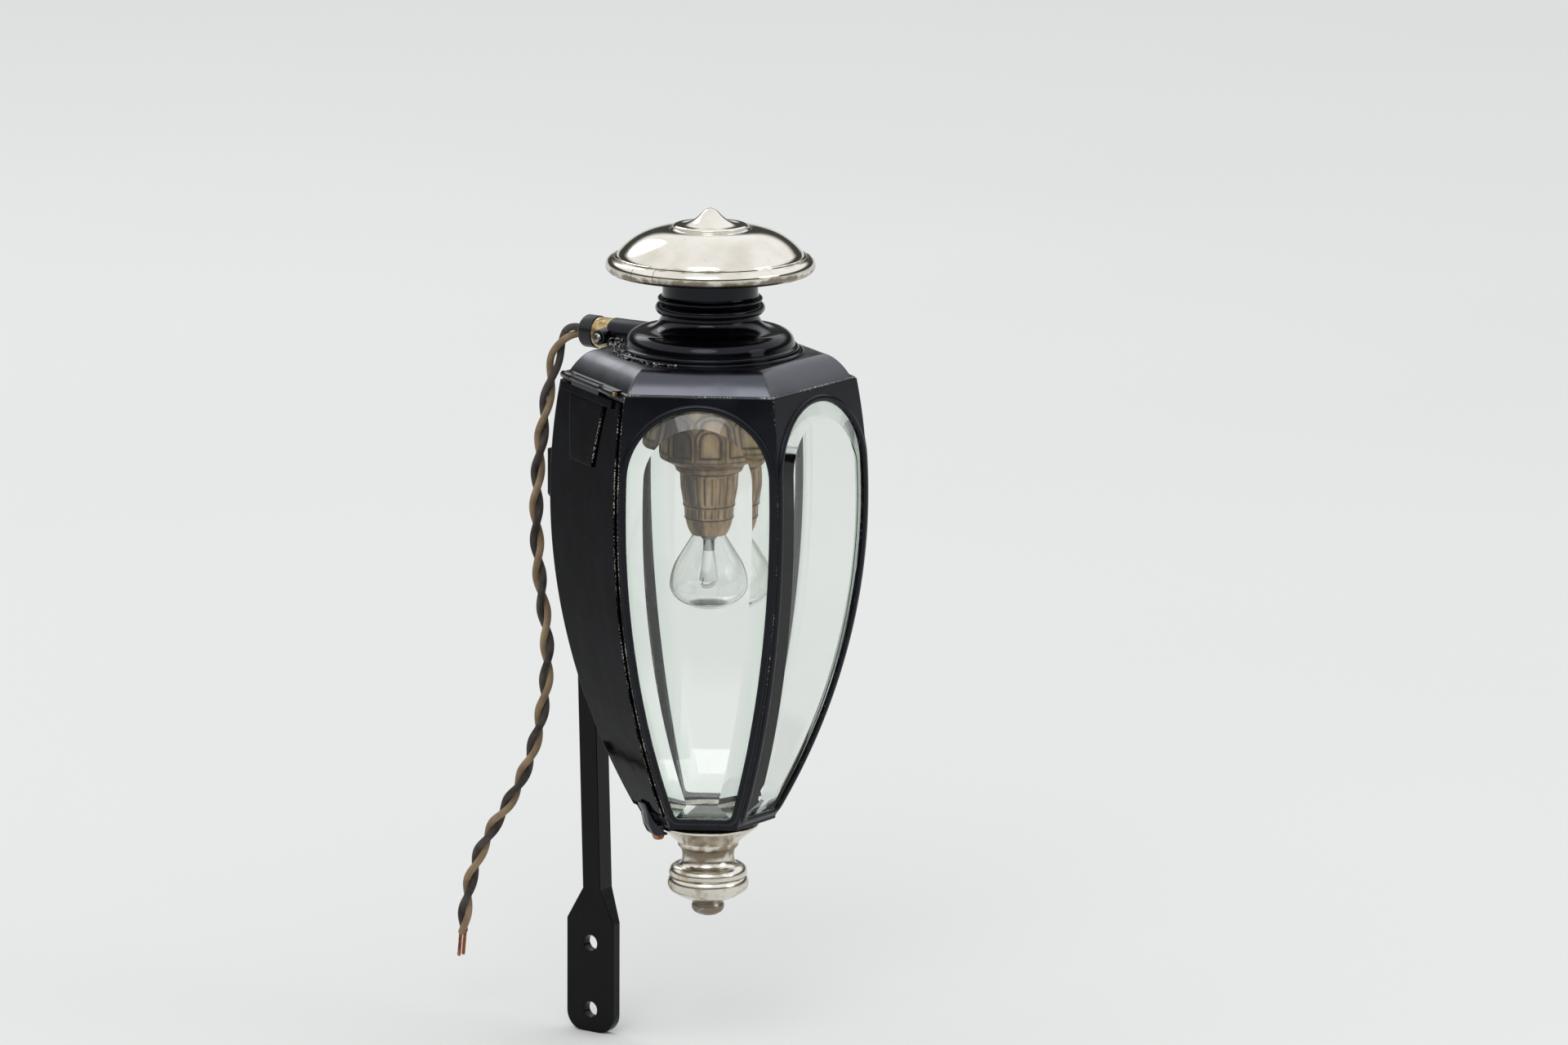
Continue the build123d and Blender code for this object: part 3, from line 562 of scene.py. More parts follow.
def smoothLine(route):
    # the NURBS line of the route, read back as close points
    curve = bpy.data.curves.new("route", "CURVE")
    curve.dimensions = "3D"
    spline = curve.splines.new("NURBS")
    spline.points.add(len(route) - 1)
    for point, place in zip(spline.points, route):
        point.co = (*(homeMatrix @ Vector(place)), 1.0)
    spline.order_u = 3
    spline.use_endpoint_u = True
    curve.resolution_u = 20
    holder = addObject("route", curve)
    mesh = bakedMesh(holder)
    line = [vertex.co.copy() for vertex in mesh.vertices]
    bpy.data.objects.remove(holder)
    bpy.data.meshes.remove(mesh)
    return line


def newTree(name, inputs):
    # Geometry Nodes tree with inputs of these names, and its sockets by name
    tree = bpy.data.node_groups.new(name, "GeometryNodeTree")
    tree.interface.new_socket("Geometry", in_out="INPUT", socket_type="NodeSocketGeometry")
    sockets = {float: "NodeSocketFloat", int: "NodeSocketInt"}
    for label, value in inputs.items():
        tree.interface.new_socket(label, in_out="INPUT", socket_type=sockets.get(type(value), "NodeSocketMaterial"))
    tree.interface.new_socket("Geometry", in_out="OUTPUT", socket_type="NodeSocketGeometry")
    return tree, {socket.name: socket for socket in tree.nodes.new("NodeGroupInput").outputs}


def closeTree(tree, geometry, material):
    # the tree ends in Realize Instances and Set Material
    smooth = addNode(tree, "GeometryNodeSetShadeSmooth", {"Geometry": geometry, "Shade Smooth": True})
    real = addNode(tree, "GeometryNodeRealizeInstances", {"Geometry": smooth})
    coloured = addNode(tree, "GeometryNodeSetMaterial", {"Geometry": real, "Material": material})
    tree.links.new(coloured, tree.nodes.new("NodeGroupOutput").inputs[0])


def bakeLine(points, tree, inputs):
    # runs a tree on a line of points with these inputs, and gives the plain mesh
    mesh = bpy.data.meshes.new("line")
    mesh.from_pydata(points, [(i, i + 1) for i in range(len(points) - 1)], [])
    piece = addObject("line", mesh)
    modifier = piece.modifiers.new(tree.name, "NODES")
    modifier.node_group = tree
    for item in tree.interface.items_tree:
        if item.in_out == "INPUT" and item.name in inputs:
            modifier[item.identifier] = inputs[item.name]
    baked = bakedMesh(piece)
    bpy.data.objects.remove(piece)
    return baked


def capture(tree, geometry, label, value):
    # keeps a value of the curve it is read on, for use after the curve has become a mesh
    node = addNode(tree, "GeometryNodeCaptureAttribute", {"Geometry": geometry}, "Geometry").node
    node.capture_items.new("FLOAT", label)
    tree.links.new(value, node.inputs[label])
    return node.outputs["Geometry"], node.outputs[label]


def strandTree():
    # winds a round strand about a line: its lay tightens from the top pitch to the lower one
    tree, known = newTree("twisted strand", strandInputs)
    line = addNode(tree, "GeometryNodeMeshToCurve", {"Mesh": known["Geometry"]})
    line = addNode(tree, "GeometryNodeResampleCurve", {"Curve": line, "Length": known["Step"]}, mode="LENGTH")
    line = addNode(tree, "GeometryNodeSetCurveNormal", {"Curve": line}, mode="MINIMUM_TWIST")
    known["away"] = addNode(tree, "GeometryNodeSplineParameter", None, "Length")
    known["share"] = addNode(tree, "GeometryNodeSplineParameter", None, "Factor")
    addNodes(tree, known, [
        # turns = s / lower - settles * (1 / lower - 1 / top) * (1 - exp(-s / settles))
        ("lowerRate", "DIVIDE", 1, "Lower pitch"),
        ("topRate", "DIVIDE", 1, "Top pitch"),
        ("lag", "SUBTRACT", "lowerRate", "topRate"),
        ("lag", "MULTIPLY", "Settles", "lag"),
        ("fall", "DIVIDE", "away", "Settles"),
        ("fall", "MULTIPLY", "fall", -1),
        ("fall", "EXPONENT", "fall"),
        ("fall", "SUBTRACT", 1, "fall"),
        ("late", "MULTIPLY", "lag", "fall"),
        ("turns", "MULTIPLY", "away", "lowerRate"),
        ("turns", "SUBTRACT", "turns", "late"),
        ("turns", "ADD", "turns", "Phase"),
        ("angle", "MULTIPLY", "turns", 2 * math.pi),
        # the pair stands apart a little where it leaves the plug
        ("gap", "SUBTRACT", "away", "Loose at"),
        ("gap", "DIVIDE", "gap", "Loose at"),
        ("gap", "MULTIPLY", "gap", "gap"),
        ("gap", "MULTIPLY", "gap", -2.5),
        ("bulge", "EXPONENT", "gap"),
        ("bulge", "MULTIPLY_ADD", "bulge", "Loose", 1),
        ("reach", "MULTIPLY", "Winding radius", "bulge"),
        # both ends close to a point within a strand's width
        ("ends", "SUBTRACT", 1, "share"),
        ("ends", "MINIMUM", "share", "ends"),
        ("ends", "MULTIPLY", "ends", 250),
        ("ends", "MINIMUM", "ends", 1),
        ("close", "POWER", "ends", 0.5),
        ("corners", "ADD", "Sides", 1),
    ])
    tangent = addNode(tree, "GeometryNodeInputTangent")
    normal = addNode(tree, "GeometryNodeInputNormal")
    arm = addNode(tree, "ShaderNodeVectorRotate", {
        "Vector": normal, "Axis": tangent, "Angle": known["angle"]}, rotation_type="AXIS_ANGLE")
    offset = addNode(tree, "ShaderNodeVectorMath", {0: arm, "Scale": known["reach"]}, operation="SCALE")
    wound = addNode(tree, "GeometryNodeSetPosition", {"Geometry": line, "Offset": offset})
    wound, known["along"] = capture(tree, wound, "along", known["away"])
    ring = addNode(tree, "GeometryNodeCurveArc", {
        "Resolution": known["corners"], "Radius": known["Strand radius"], "Sweep Angle": 2 * math.pi}, "Curve",
        mode="RADIUS")
    ring, known["around"] = capture(
        tree, ring, "around", addNode(tree, "GeometryNodeSplineParameter", None, "Length"))
    tube = addNode(tree, "GeometryNodeCurveToMesh", {"Curve": wound, "Profile Curve": ring, "Scale": known["close"]})
    # the plait is laid out in millimetres
    addNodes(tree, known, [("x", "MULTIPLY", "around", 1000), ("y", "MULTIPLY", "along", 1000)])
    spread = addNode(tree, "ShaderNodeCombineXYZ", {"X": known["x"], "Y": known["y"]})
    mapped = addNode(tree, "GeometryNodeStoreNamedAttribute", {
        "Geometry": tube, "Name": "plait", "Value": spread}, data_type="FLOAT2", domain="CORNER")
    merged = addNode(tree, "GeometryNodeMergeByDistance", {"Geometry": mapped, "Distance": 1e-6})
    closeTree(tree, merged, known["Material"])
    return tree


def joinMeshes(name, meshes, replaced=()):
    # one piece from several meshes, each keeping its own finish
    parts = [addObject(name, mesh) for mesh in meshes]
    with bpy.context.temp_override(active_object=parts[0], selected_editable_objects=parts):
        bpy.ops.object.join()
    piece = parts[0]
    piece.name = name
    shape = bmesh.new()
    shape.from_mesh(piece.data)
    bmesh.ops.recalc_face_normals(shape, faces=shape.faces[:])
    shape.to_mesh(piece.data)
    shape.free()
    return dress(piece, "lamp", replaced)


strand = strandTree()


def makeFlex():
    line = smoothLine(flex["route"])
    pair = joinMeshes("flex_pair", [bakeLine(line, strand, {**strandInputs, "Phase": phase, "Material": material})
                                    for phase, material in ((0.1, tanCotton), (0.6, brownCotton))], ["flex"])
    # bared wires: seven strands twisted together out of each core
    tangent = (line[-1] - line[-2]).normalized()
    side = Vector((1, 0, 0))
    side = (side - tangent * side.dot(tangent)).normalized()
    around = flex["wires"] - 1   # the last one runs down the middle
    meshes = []
    for hand in (-1, 1):
        start = line[-1] + side * hand * strandInputs["Strand radius"] - tangent * flex["root"] * milli
        run = [start + tangent * (flex["tail"] + flex["root"]) * milli * i / 14 for i in range(15)]
        for k in range(flex["wires"]):
            winding = 0.0 if k == around else tailInputs["Winding radius"]
            meshes.append(bakeLine(run, strand, {**tailInputs, "Phase": k / around, "Winding radius": winding}))
    tails = joinMeshes("flex_tail_wires", meshes, ["flex_tails"])


makeFlex()
print("flex twisted")


# Windows: a sheet side with a round-headed opening and a half-round bead about it
window = {
    "border": 4.6, "head": 6.5, "foot": 4.6, "footRound": 3.0, "beadWidth": 3.6, "beadHeight": 1.3, "beadSteps": 12,
    "sideSteps": 44, "shoulderSteps": 16, "crownSteps": 16, "footSteps": 8, "curveSteps": 400, "cut": 0.25,
}
archWide = sideReach(-body["bulgeDepth"]) * halfSide - window["border"]
# turn of the arch at which its spoke meets the side's top corner, and the turns of its points up to there and on
shoulder = math.atan2(window["head"] + archWide, sideReach(0) * halfSide)
shoulderTurns = [shoulder * k / window["shoulderSteps"] for k in range(1, window["shoulderSteps"] + 1)]
crownTurns = [
    shoulder + (math.pi / 2 - shoulder) * k / window["crownSteps"] for k in range(1, window["crownSteps"] + 1)]


def windowPath(margin, footRound=True):
    # half of the opening's outline grown by a margin, from its foot to its crown, as (across, height)
    def half(z):
        return sideReach(z) * halfSide - window["border"] + margin

    arch = half(-body["bulgeDepth"])
    centre = margin - window["head"] - arch
    foot = start = window["foot"] - body["depth"] - margin
    middle = (centre + foot) / 2
    corner = (half(foot), foot)
    curve = [corner] + curveThrough(corner, (half(middle), middle), (arch, centre), window["curveSteps"])
    heights = [z for x, z in curve]

    def across(z):
        i = min(max(bisect.bisect(heights, z) - 1, 0), len(curve) - 2)
        (x0, z0), (x1, z1) = curve[i:i + 2]
        return x0 + (x1 - x0) * (z - z0) / (z1 - z0)

    points = [corner]
    if footRound:
        lean = math.atan2(curve[1][0] - corner[0], curve[1][1] - foot)
        reach = (window["footRound"] + margin) * math.tan((math.pi / 2 - lean) / 2)
        start = foot + reach * math.cos(lean)
        points = bezier([(corner[0] - reach, foot), corner, (across(start), start)], window["footSteps"])
    for k in range(1, window["sideSteps"]):
        z = start + (centre - start) * k / window["sideSteps"]
        points.append((across(z), z))
    points.append((arch, centre))
    points += [(arch * math.cos(turn), centre + arch * math.sin(turn)) for turn in shoulderTurns + crownTurns[:-1]]
    return points + [(0.0, centre + arch)]


def edgePath(inset, depth):
    # half of the side's own outline, point for point with windowPath, set in from its corners
    def wide(z):
        return sideReach(z, depth) * halfSide - inset

    inner = windowPath(window["beadWidth"])
    steps, rise = window["footSteps"], window["footSteps"] // 2
    share = inner[0][0] / wide(footTop)
    points = [(wide(footTop) * (share + (1 - share) * k / rise), footTop) for k in range(rise + 1)]
    heights = [footTop + (inner[steps][1] - footTop) * k / (steps - rise) for k in range(1, steps - rise + 1)]
    heights += [z for x, z in inner[steps + 1:steps + 1 + window["sideSteps"]]]
    heights += [min(heights[-1] * (1 - math.tan(turn) / math.tan(shoulder)), 0.0) for turn in shoulderTurns]
    points += [(wide(z), z) for z in heights]
    quarter = math.pi / 2
    return points + [(wide(0) * math.tan(quarter - turn) / math.tan(quarter - shoulder), 0.0) for turn in crownTurns]


def wholeLoop(half):
    return half + [(-x, z) for x, z in half[-2::-1]]


def onSide(point, depth):
    return (sideReach(point[1], depth), point[0], point[1])


def windowSide(name, azimuth, node, wear, bead=True):
    # wear is how chipped the paint is at the left and right corners
    rounding, grown, sheet = body["cornerRound"], window["beadWidth"], body["sheet"]
    inner, outer = windowPath(grown), edgePath(rounding * body["cornerReach"] + 1.4, 0.0)
    paths = [(windowPath(0.0), sheet, 0.7), (windowPath(0.0), window["cut"], 0.8)]   # outline, depth, chipped
    if bead:
        for k in range(window["beadSteps"] + 1):
            turn = math.pi * k / window["beadSteps"]
            path = windowPath(grown * (1 - math.cos(turn)) / 2)
            paths.append((path, -window["beadHeight"] * math.sin(turn) ** 0.85, 0.8 if k < 2 else 0.0))
    else:
        paths += [(windowPath(window["cut"]), 0.0, 0.8), (inner, 0.0, 0.0)]
    for share in (0.35, 0.7, 1.0):
        paths.append((
            [(a + (c - a) * share, b + (d - b) * share) for (a, b), (c, d) in zip(inner, outer)], 0.0, 0.0))
    for turn in (0, 10, 20, 30):
        lean = math.radians(turn)
        path = edgePath(rounding * (body["cornerReach"] - math.sin(lean)), 0.0)
        paths.append((path, rounding * (1 - math.cos(lean)), (turn + 5) / 35))
    paths.append((edgePath(0.0, sheet), sheet, 0.0))
    rings = [
        [(*onSide(place, depth), worn * wear[place[0] >= 0]) for place in wholeLoop(half)]
        for half, depth, worn in paths]
    keepPiece(name, shell(rings, "edgeWearAndHighlight", True)[0], sideEnamel, 34.0, (node,), facing(azimuth))


# Panes: bent plate glass with a ground bevel all round
pane = {"thick": 5.2, "lap": 1.3, "bevelWidth": 8.6, "bevelDepth": 3.2, "seat": 0.916}


def glassPane(name, azimuth, node):
    front = body["sheet"] + pane["seat"] - pane["bevelDepth"]
    rim, field = windowPath(pane["lap"], False), windowPath(-pane["bevelWidth"], False)
    # outline, depth, and how far the glass shows its own green, towards its ground rim
    layers = [(field, front, 0.0), (rim, front + pane["bevelDepth"], 1.0), (rim, front + pane["thick"], 0.0)]
    shape, loops = shell([
        [(*onSide(place, depth), green) for place in wholeLoop(path)] for path, depth, green in layers], "tintAndPaintedReflection")
    for loop in (loops[0], loops[-1]):
        # level strips across the face, up to its crown
        for i in range(len(loop) // 2):
            shape.faces.new(list(dict.fromkeys((loop[i], loop[i + 1], loop[-2 - i], loop[-1 - i]))))
    keepPiece(name, shape, plateGlass, 5.0, (node,), facing(azimuth))


# the corner between the left window and the door has lost most paint
for side, azimuth, wear in (
        ("front", 0, (0.62, 0.55)), ("left", -60, (1.0, 0.62)), ("right", 60, (0.5, 0.5)), ("rear", 120, (0.5, 0.5))):
    windowSide(side + "_side", azimuth, side + "_window", wear)
    glassPane(side + "_pane", azimuth, side + "_glass")
windowSide("door_surround", -120, "door_frame", (0.5, 1.0), False)
print("windows glazed")


# Plain sheets: the mounting side, the door and its fittings, all bent to the body's bow
rowHeight = 3.6
door = {
    "azimuth": -120, "rows": (-3.0, -226.0), "depth": -0.3, "edge": 2.0,
    "strapRows": (-7.0, -40.0), "strapDepths": (-2.8, -1.8), "strapWidths": (42.0, 27.0),
    "bandRows": (-3.0, -7.2), "bandEnds": (-33.0, 30.0), "leafRows": (-0.9, -4.2), "leafGap": 0.4,
    "barrel": (-21.05, 13.15), "barrelRadius": 1.8, "hingeOut": 2.1, "hingeHeight": 0.3,
}


def bentSheet(top, foot, outer, inner, halfWidth, lip, wear):
    # rows of a bowed sheet between two depths; its edges are rounded by the lip
    rows = [0.0, 0.15 * lip, 0.5 * lip, lip]
    rows += [top - foot - row for row in reversed(rows)]
    steps = max(4, int((top - foot) / rowHeight))
    rows[4:4] = [lip + (top - foot - 2 * lip) * k / steps for k in range(1, steps)]
    rings = []
    for row in rows:
        z = top - row
        end = 1 - min(1.0, min(row, top - foot - row) / lip)   # 1 at either end, 0 beyond the lip
        drop = lip * (1 - math.sqrt(1 - end ** 2))
        front, back = halfWidth(z, outer), halfWidth(z, inner)
        half = [(front - lip * 2.5, outer + drop, wear * end)]
        for lean in map(math.radians, (0, 30, 60, 90)):
            sunk = max(drop, lip * (1 - math.cos(lean)))
            half.append((front - lip * (1 - math.sin(lean)), outer + sunk, wear))
        half.append((back, inner, 0.0))
        half += [(-x, depth, worn * 0.6) for x, depth, worn in reversed(half)]
        rings.append([(sideReach(z, depth), x, z, worn) for x, depth, worn in half])
    shape, loops = shell(rings, "edgeWearAndHighlight")
    shape.faces.new(loops[0][::-1])
    shape.faces.new(loops[-1])
    return shape


def cornerWidth(z, depth):
    return sideReach(z, depth) * halfSide


def strapWidth(z, depth):
    (top, foot), (wide, narrow) = door["strapRows"], door["strapWidths"]
    return (wide + (narrow - wide) * (top - z) / (top - foot)) / 2


def keepSheet(name, material, rows, depths, halfWidth, lip, wear, replaced=(), ends=(0, 0)):
    # a sheet of the door between two ends across it; rows are its top and foot
    shape = bentSheet(*rows, *depths, halfWidth, lip, wear)
    keepPiece(name, shape, material, 34.0, replaced, facing(door["azimuth"], 0, sum(ends) / 2, 0), "door")


keepPiece("mounting_side", bentSheet(0.0, footTop, 0.0, body["sheet"], cornerWidth, 0.5, 0.4), sideEnamel, 34.0,
          ("mount_panel",), facing(180))
(front, back), (low, high) = door["strapDepths"], door["barrel"]
keepSheet("door_sheet", doorEnamel, door["rows"], (door["depth"] - body["sheet"], door["depth"]),
          lambda z, depth: cornerWidth(z, depth) - door["edge"], 0.4, 0.8, ("door",))
# the strap's pale edge line is a painted highlight, drawn with the enamel's flakes
keepSheet("door_strap", doorEnamel, door["strapRows"], (front, back), strapWidth, 0.6, 0.74, ("door_leaf",))
keepSheet("strap_band", doorEnamel, door["bandRows"], (front + 0.1, back + 0.05),
          lambda z, depth: (door["bandEnds"][1] - door["bandEnds"][0]) / 2, 0.3, 0.3, (), door["bandEnds"])
barrelTurn = facing(door["azimuth"], sideReach(0) + door["hingeOut"], 0, door["hingeHeight"])
turned(
    "door_knuckle", [(0, low), (door["barrelRadius"], low, 0.3), (door["barrelRadius"], high, 0.3), (0, high)], 48,
    sideEnamel, 34.0, (), None, barrelTurn @ Matrix.Rotation(-math.pi / 2, 4, "X"), "door")
# the leaf between the strap and its barrel, clear of the roof's knuckles at both ends
keepSheet("knuckle_leaf", sideEnamel, door["leafRows"], (front + 0.15, back + 0.05),
          lambda z, depth: (high - low) / 2 - door["leafGap"], 0.1, 0.0, (), door["barrel"])
softened("roof_hinge", "roof_knuckles", blackEnamel, 0.2)
softened("hinge_pin", "hinge_rod", brass, 0.2)

# thumb lug on the door's foot: it follows the door, and its tongue snaps under the flange
lug = {"width": 9.0, "rounding": 0.9, "profile": [
    (sideReach(-221.0) + 1.9, -221.0), (sideReach(-221.0) + 3.2, -221.4), (sideReach(-226.0) + 3.6, -227.0),
    (35.4, -233.0), (33.2, -237.6), (31.6, -238.9), (25.0, -238.9), (25.0, -237.7), (27.2, -237.7), (27.2, -233.0),
    (30.8, -232.9), (sideReach(-227.0) + 0.6, -227.0), (sideReach(-226.0) + 1.9, -225.8),
]}
lugShape = bmesh.new()
lugFace = lugShape.faces.new([lugShape.verts.new((x, -lug["width"] / 2, z)) for x, z in lug["profile"]])
lugSide = bmesh.ops.extrude_face_region(lugShape, geom=[lugFace])["geom"]
bmesh.ops.translate(
    lugShape, vec=(0, lug["width"], 0), verts=[part for part in lugSide if isinstance(part, bmesh.types.BMVert)])
roundEdges(lugShape, lugShape.edges[:], lug["rounding"])
keepPiece("catch_lug", lugShape, brushedEnamel, 40.0, ("door_catch",), facing(door["azimuth"]), "door")
turned("catch_stud", [
    (0, -238.9), (3.3, -238.9), (3.2, -239.6, 0.3), (2.6, -241.2, 0.8), (1.4, -241.8, 0.5), (0, -241.9)], 48,
    copper, 50.0, ("catch_rivet",), None, facing(door["azimuth"], 28.4, 0, 0), "door")
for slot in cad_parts["rear_liner"].material_slots:
    slot.material = silvered
print("sides and door hung")


# Roof: a ledge, six bowed slopes and a flat top, in one drawn sheet
roof = {
    "ledge": 64.83, "ledgeThick": 1.0, "slopeFoot": 62.83, "height": 12.6, "thick": 1.4, "ringRadius": 48.3,
    "vent": 38.0, "bow": [(58.9, 7.7), (54.6, 12.5), (49.5, 12.6)], "cornerRound": 0.8, "hipRound": 0.5,
    "inside": [(51.9, 9.8), (57.349, 5.785), (61.43, 0.0)],
    "spread": [-30, -29.5, -29, -28.5, -28, -27, -25, -20, -13, -6, 0, 6, 13, 20, 25, 27, 28, 28.5, 29, 29.5],
}


def hexReach(reach, angle, rounding):
    # distance to a six-sided outline with rounded corners; angle is from the middle of a side, within 30 degrees
    away = math.pi / 6 - abs(angle)
    heart = (reach - rounding) / math.cos(math.pi / 6)
    if rounding <= 0 or heart * math.sin(away) >= rounding * math.sin(math.pi / 6):
        return reach / math.cos(angle)
    return heart * math.cos(away) + math.sqrt(rounding ** 2 - (heart * math.sin(away)) ** 2)


def roofRing(reach, height, sided=True):
    # one level of the roof, with pale chips along the ledge as a painted highlight, and chipped down the hips
    rounding = roof["cornerRound"] + roof["hipRound"] * height / roof["height"]
    ring = []
    for side in range(6):
        for turn in roof["spread"]:
            angle = math.radians(60 * side + 30 + turn)   # no side faces +X
            away = hexReach(reach, math.radians(turn), rounding) if sided else reach
            nearHip = max(0.0, 1 - (30 - abs(turn)) / 1.6) if sided else 0.0
            # pale chips along the ledge's edge: a painted highlight
            ledgeHighlight = 0.75 if reach > roof["slopeFoot"] + 0.5 and height > 0.3 else 0.0
            worn = max(ledgeHighlight, 0.6 * nearHip * (1 - height / roof["height"]))
            ring.append((away * math.cos(angle), away * math.sin(angle), height, worn))
    return ring


slopeFoot = (roof["slopeFoot"], roof["ledgeThick"])
outside = section([(roof["ledge"], 0.0), (roof["ledge"], roof["ledgeThick"], 0.35), slopeFoot])
outside += bezier([slopeFoot, *roof["bow"]], 16)[1:]
vent = [   # the flat top and its opening are round
    (roof["ringRadius"] - 2.0, roof["height"]), (roof["vent"], roof["height"]),
    (roof["vent"], roof["height"] - 2 * roof["thick"]),
]
roofRings = [roofRing(*point, point not in vent) for point in outside + vent + roof["inside"]]
keepPiece("roof_shell", shell(roofRings, "edgeWearAndHighlight", True)[0], roofEnamel, 26.0, ("roof",))

# Chimney and cap, spun; heights from the rim
turned("chimney_stack", [
    (48.3, 12.6), (48.3, 13.6, 0.5), (47.4, 14.2, 0.4), (45.6, 14.3), (45.7, 15.5, 0.6), (44.9, 16.3, 0.5),
    (43.7, 16.6), (43.4, 18.0, 0.8), (41.2, 22.2, 35.4, 24.2), (28.6, 26.2, 25.2, 31.0), (25.2, 32.5),
    (26.6, 32.9, 0.5), (28.2, 35.5, 26.6, 38.1), (25.4, 38.6), (25.6, 39.2), (27.0, 40.3, 25.6, 41.4), (24.8, 41.9),
    (24.6, 42.6, 0.4), (24.6, 73.6), (23.2, 73.6), (23.2, 29.0), (38.0, 18.0), (38.0, 12.6), (48.3, 12.6),
], 144, blackEnamel, 40.0, ("chimney",))

cap = {"paintedReflectionTop": 59.2, "paintedReflectionFade": 2.6, "rimWide": 45.0, "grooveWide": 46.0, "grooves": ((61.7, 0.3), (62.5, 0.25)),
       "seam": 21.0, "seamWide": 0.5}


def near(value, middle, width):
    # 1 at the middle, falling off within the width
    return math.exp(-((value - middle) / width) ** 2)


def ramp(value, start, width):
    return max(0.0, min(1.0, (value - start) / width))


def capWarp(angle, radius, height):
    # painted brown reflection under the bead; tarnish in the groove and round the button
    under = ramp(-height, -cap["paintedReflectionTop"], cap["paintedReflectionFade"]) if radius > cap["rimWide"] else 0.0
    groove = max(near(height, *spot) for spot in cap["grooves"]) if radius > cap["grooveWide"] else 0.0
    return radius, max(under, 0.7 * groove, 0.7 * near(radius, cap["seam"], cap["seamWide"]))


turned("cap_shell", [
    (49.2, 53.7), (53.8, 58.2, 50.1, 62.0), (49.55, 61.6, 0.2), (49.4, 62.55, 0.25), (48.65, 62.95, 0.25),
    (48.2, 62.45, 0.1), (47.95, 63.45), (38.4, 71.8, 22.2, 76.6), (21.2, 76.7, 0.5), (20.8, 76.3, 0.3), (20.0, 76.6),
    (19.0, 77.2), (0, 77.2), (0, 73.9), (26.6, 73.9), (36.0, 71.4, 3.0), (44.0, 66.4, 3.0), (47.2, 60.5, 2.0),
    (52.2, 59.2, 0.8), (52.2, 56.8, 1.0), (48.8, 55.3, 0.4), (46.2, 55.3), (46.2, 53.7, 0.5), (49.2, 53.7),
], 160, nickel, 32.0, ("cap",), capWarp)
turned("cap_finial", [
    (0, 76.6), (19.4, 76.6), (19.4, 78.0, 0.3), (18.4, 78.7, 0.6), (10.4, 80.1, 4.6, 84.5), (2.6, 86.3, 0.8), (0, 87.1),
], 112, nickel, 40.0, ("cap_button",))
print("roof, chimney and cap spun")


# Inside: the bell that carries the holder, the holder with its flutes, the bulb
bell = {
    "foot": -43.0, "top": -10.0, "radius": 25.3, "skinWide": 19.5, "arches": 10, "archWide": 6.6, "archTop": -24.0,
    "ridge": 0.55, "panel": 0.5, "plainDirt": 0.15,
}


def bellWarp(angle, radius, height):
    # a row of round-headed panels pressed into the bell
    if radius < bell["skinWide"] or height < bell["foot"] + 0.8 or height > bell["top"]:
        return radius, bell["plainDirt"]
    share = (angle / (2 * math.pi) * bell["arches"] + 0.5) % 1.0 - 0.5
    across = share * 2 * math.pi * bell["radius"] / bell["arches"]
    crown = bell["archTop"] - bell["archWide"]
    if height > crown:
        away = math.hypot(across, height - crown) - bell["archWide"]
    else:
        away = max(abs(across) - bell["archWide"], bell["foot"] + 3.0 - height)
    sunk = bell["panel"] / (1 + math.exp(away * 4.0))
    dirt = near(away, -1.2, 0.6) + 0.9 * near(away, 1.3, 0.5)
    return radius + bell["ridge"] * near(away, 0, 0.7) - sunk, min(1.0, dirt)


bellSkin = fine(section([
    (18.0, -46.0), (23.3, -43.4, 0.6), (25.6, -42.2, 0.7), (25.5, -29.0), (24.2, -17.5, 16.0, -8.2), (16.0, 8.4),
]), 0.9)
turned("holder_bell", [
    (42.0, 8.4), (42.0, 9.8), (14.6, 9.8), (14.6, -9.0), (21.4, -17.0, 24.0, -29.0), (23.9, -41.6), (17.8, -44.6),
    (0, -44.6), (0, -46.0), *bellSkin, (42.0, 8.4),
], 240, tarnishedBrass, 40.0, ("gallery",), bellWarp)

holder = {
    "top": -46.0, "coreWide": 8.0, "coreDirt": 0.2, "rings": (3.4, 20.9, 27.6), "ringWide": 0.45,
    "fluted": ((5.0, 20.0), (22.2, 26.6)), "flutes": 22, "deep": 0.32,
}


def holderWarp(angle, radius, height):
    # upright flutes between the rings
    if radius < holder["coreWide"]:
        return radius, holder["coreDirt"]
    drop = holder["top"] - height
    ring = max(near(drop, place, holder["ringWide"]) for place in holder["rings"])
    fluted = any(start < drop < end for start, end in holder["fluted"])
    groove = max(0.0, -math.cos(holder["flutes"] * angle)) ** 3 if fluted else 0.0
    return radius - holder["deep"] * groove, min(1.0, groove * 0.8 + ring)


turned("bulb_socket", fine(section([
    (0, -46.0), (17.4, -46.0), (17.9, -47.0, 0.5), (17.4, -48.0, 0.3), (17.1, -48.9, 0.4), (15.2, -50.0, 0.6),
    (14.7, -58.0), (13.3, -66.0), (13.7, -66.8, 0.4), (12.9, -68.0, 0.4), (12.5, -72.6), (12.9, -73.4, 0.4),
    (12.1, -74.6, 0.5), (10.9, -79.0, 9.3, -82.2), (0, -82.2),
]), 1.0), 176, tarnishedBrass, 40.0, ("bulb_holder",), holderWarp)

# blown bulb: straight cone, round belly, with a painted dark reflection at its tip
bulb = {"neck": 8.9, "foot": -121.5, "wall": 0.7, "belly": (20.2, -108.8), "cone": (15.6, -94.4), "paintedTipSpot": 10.5}


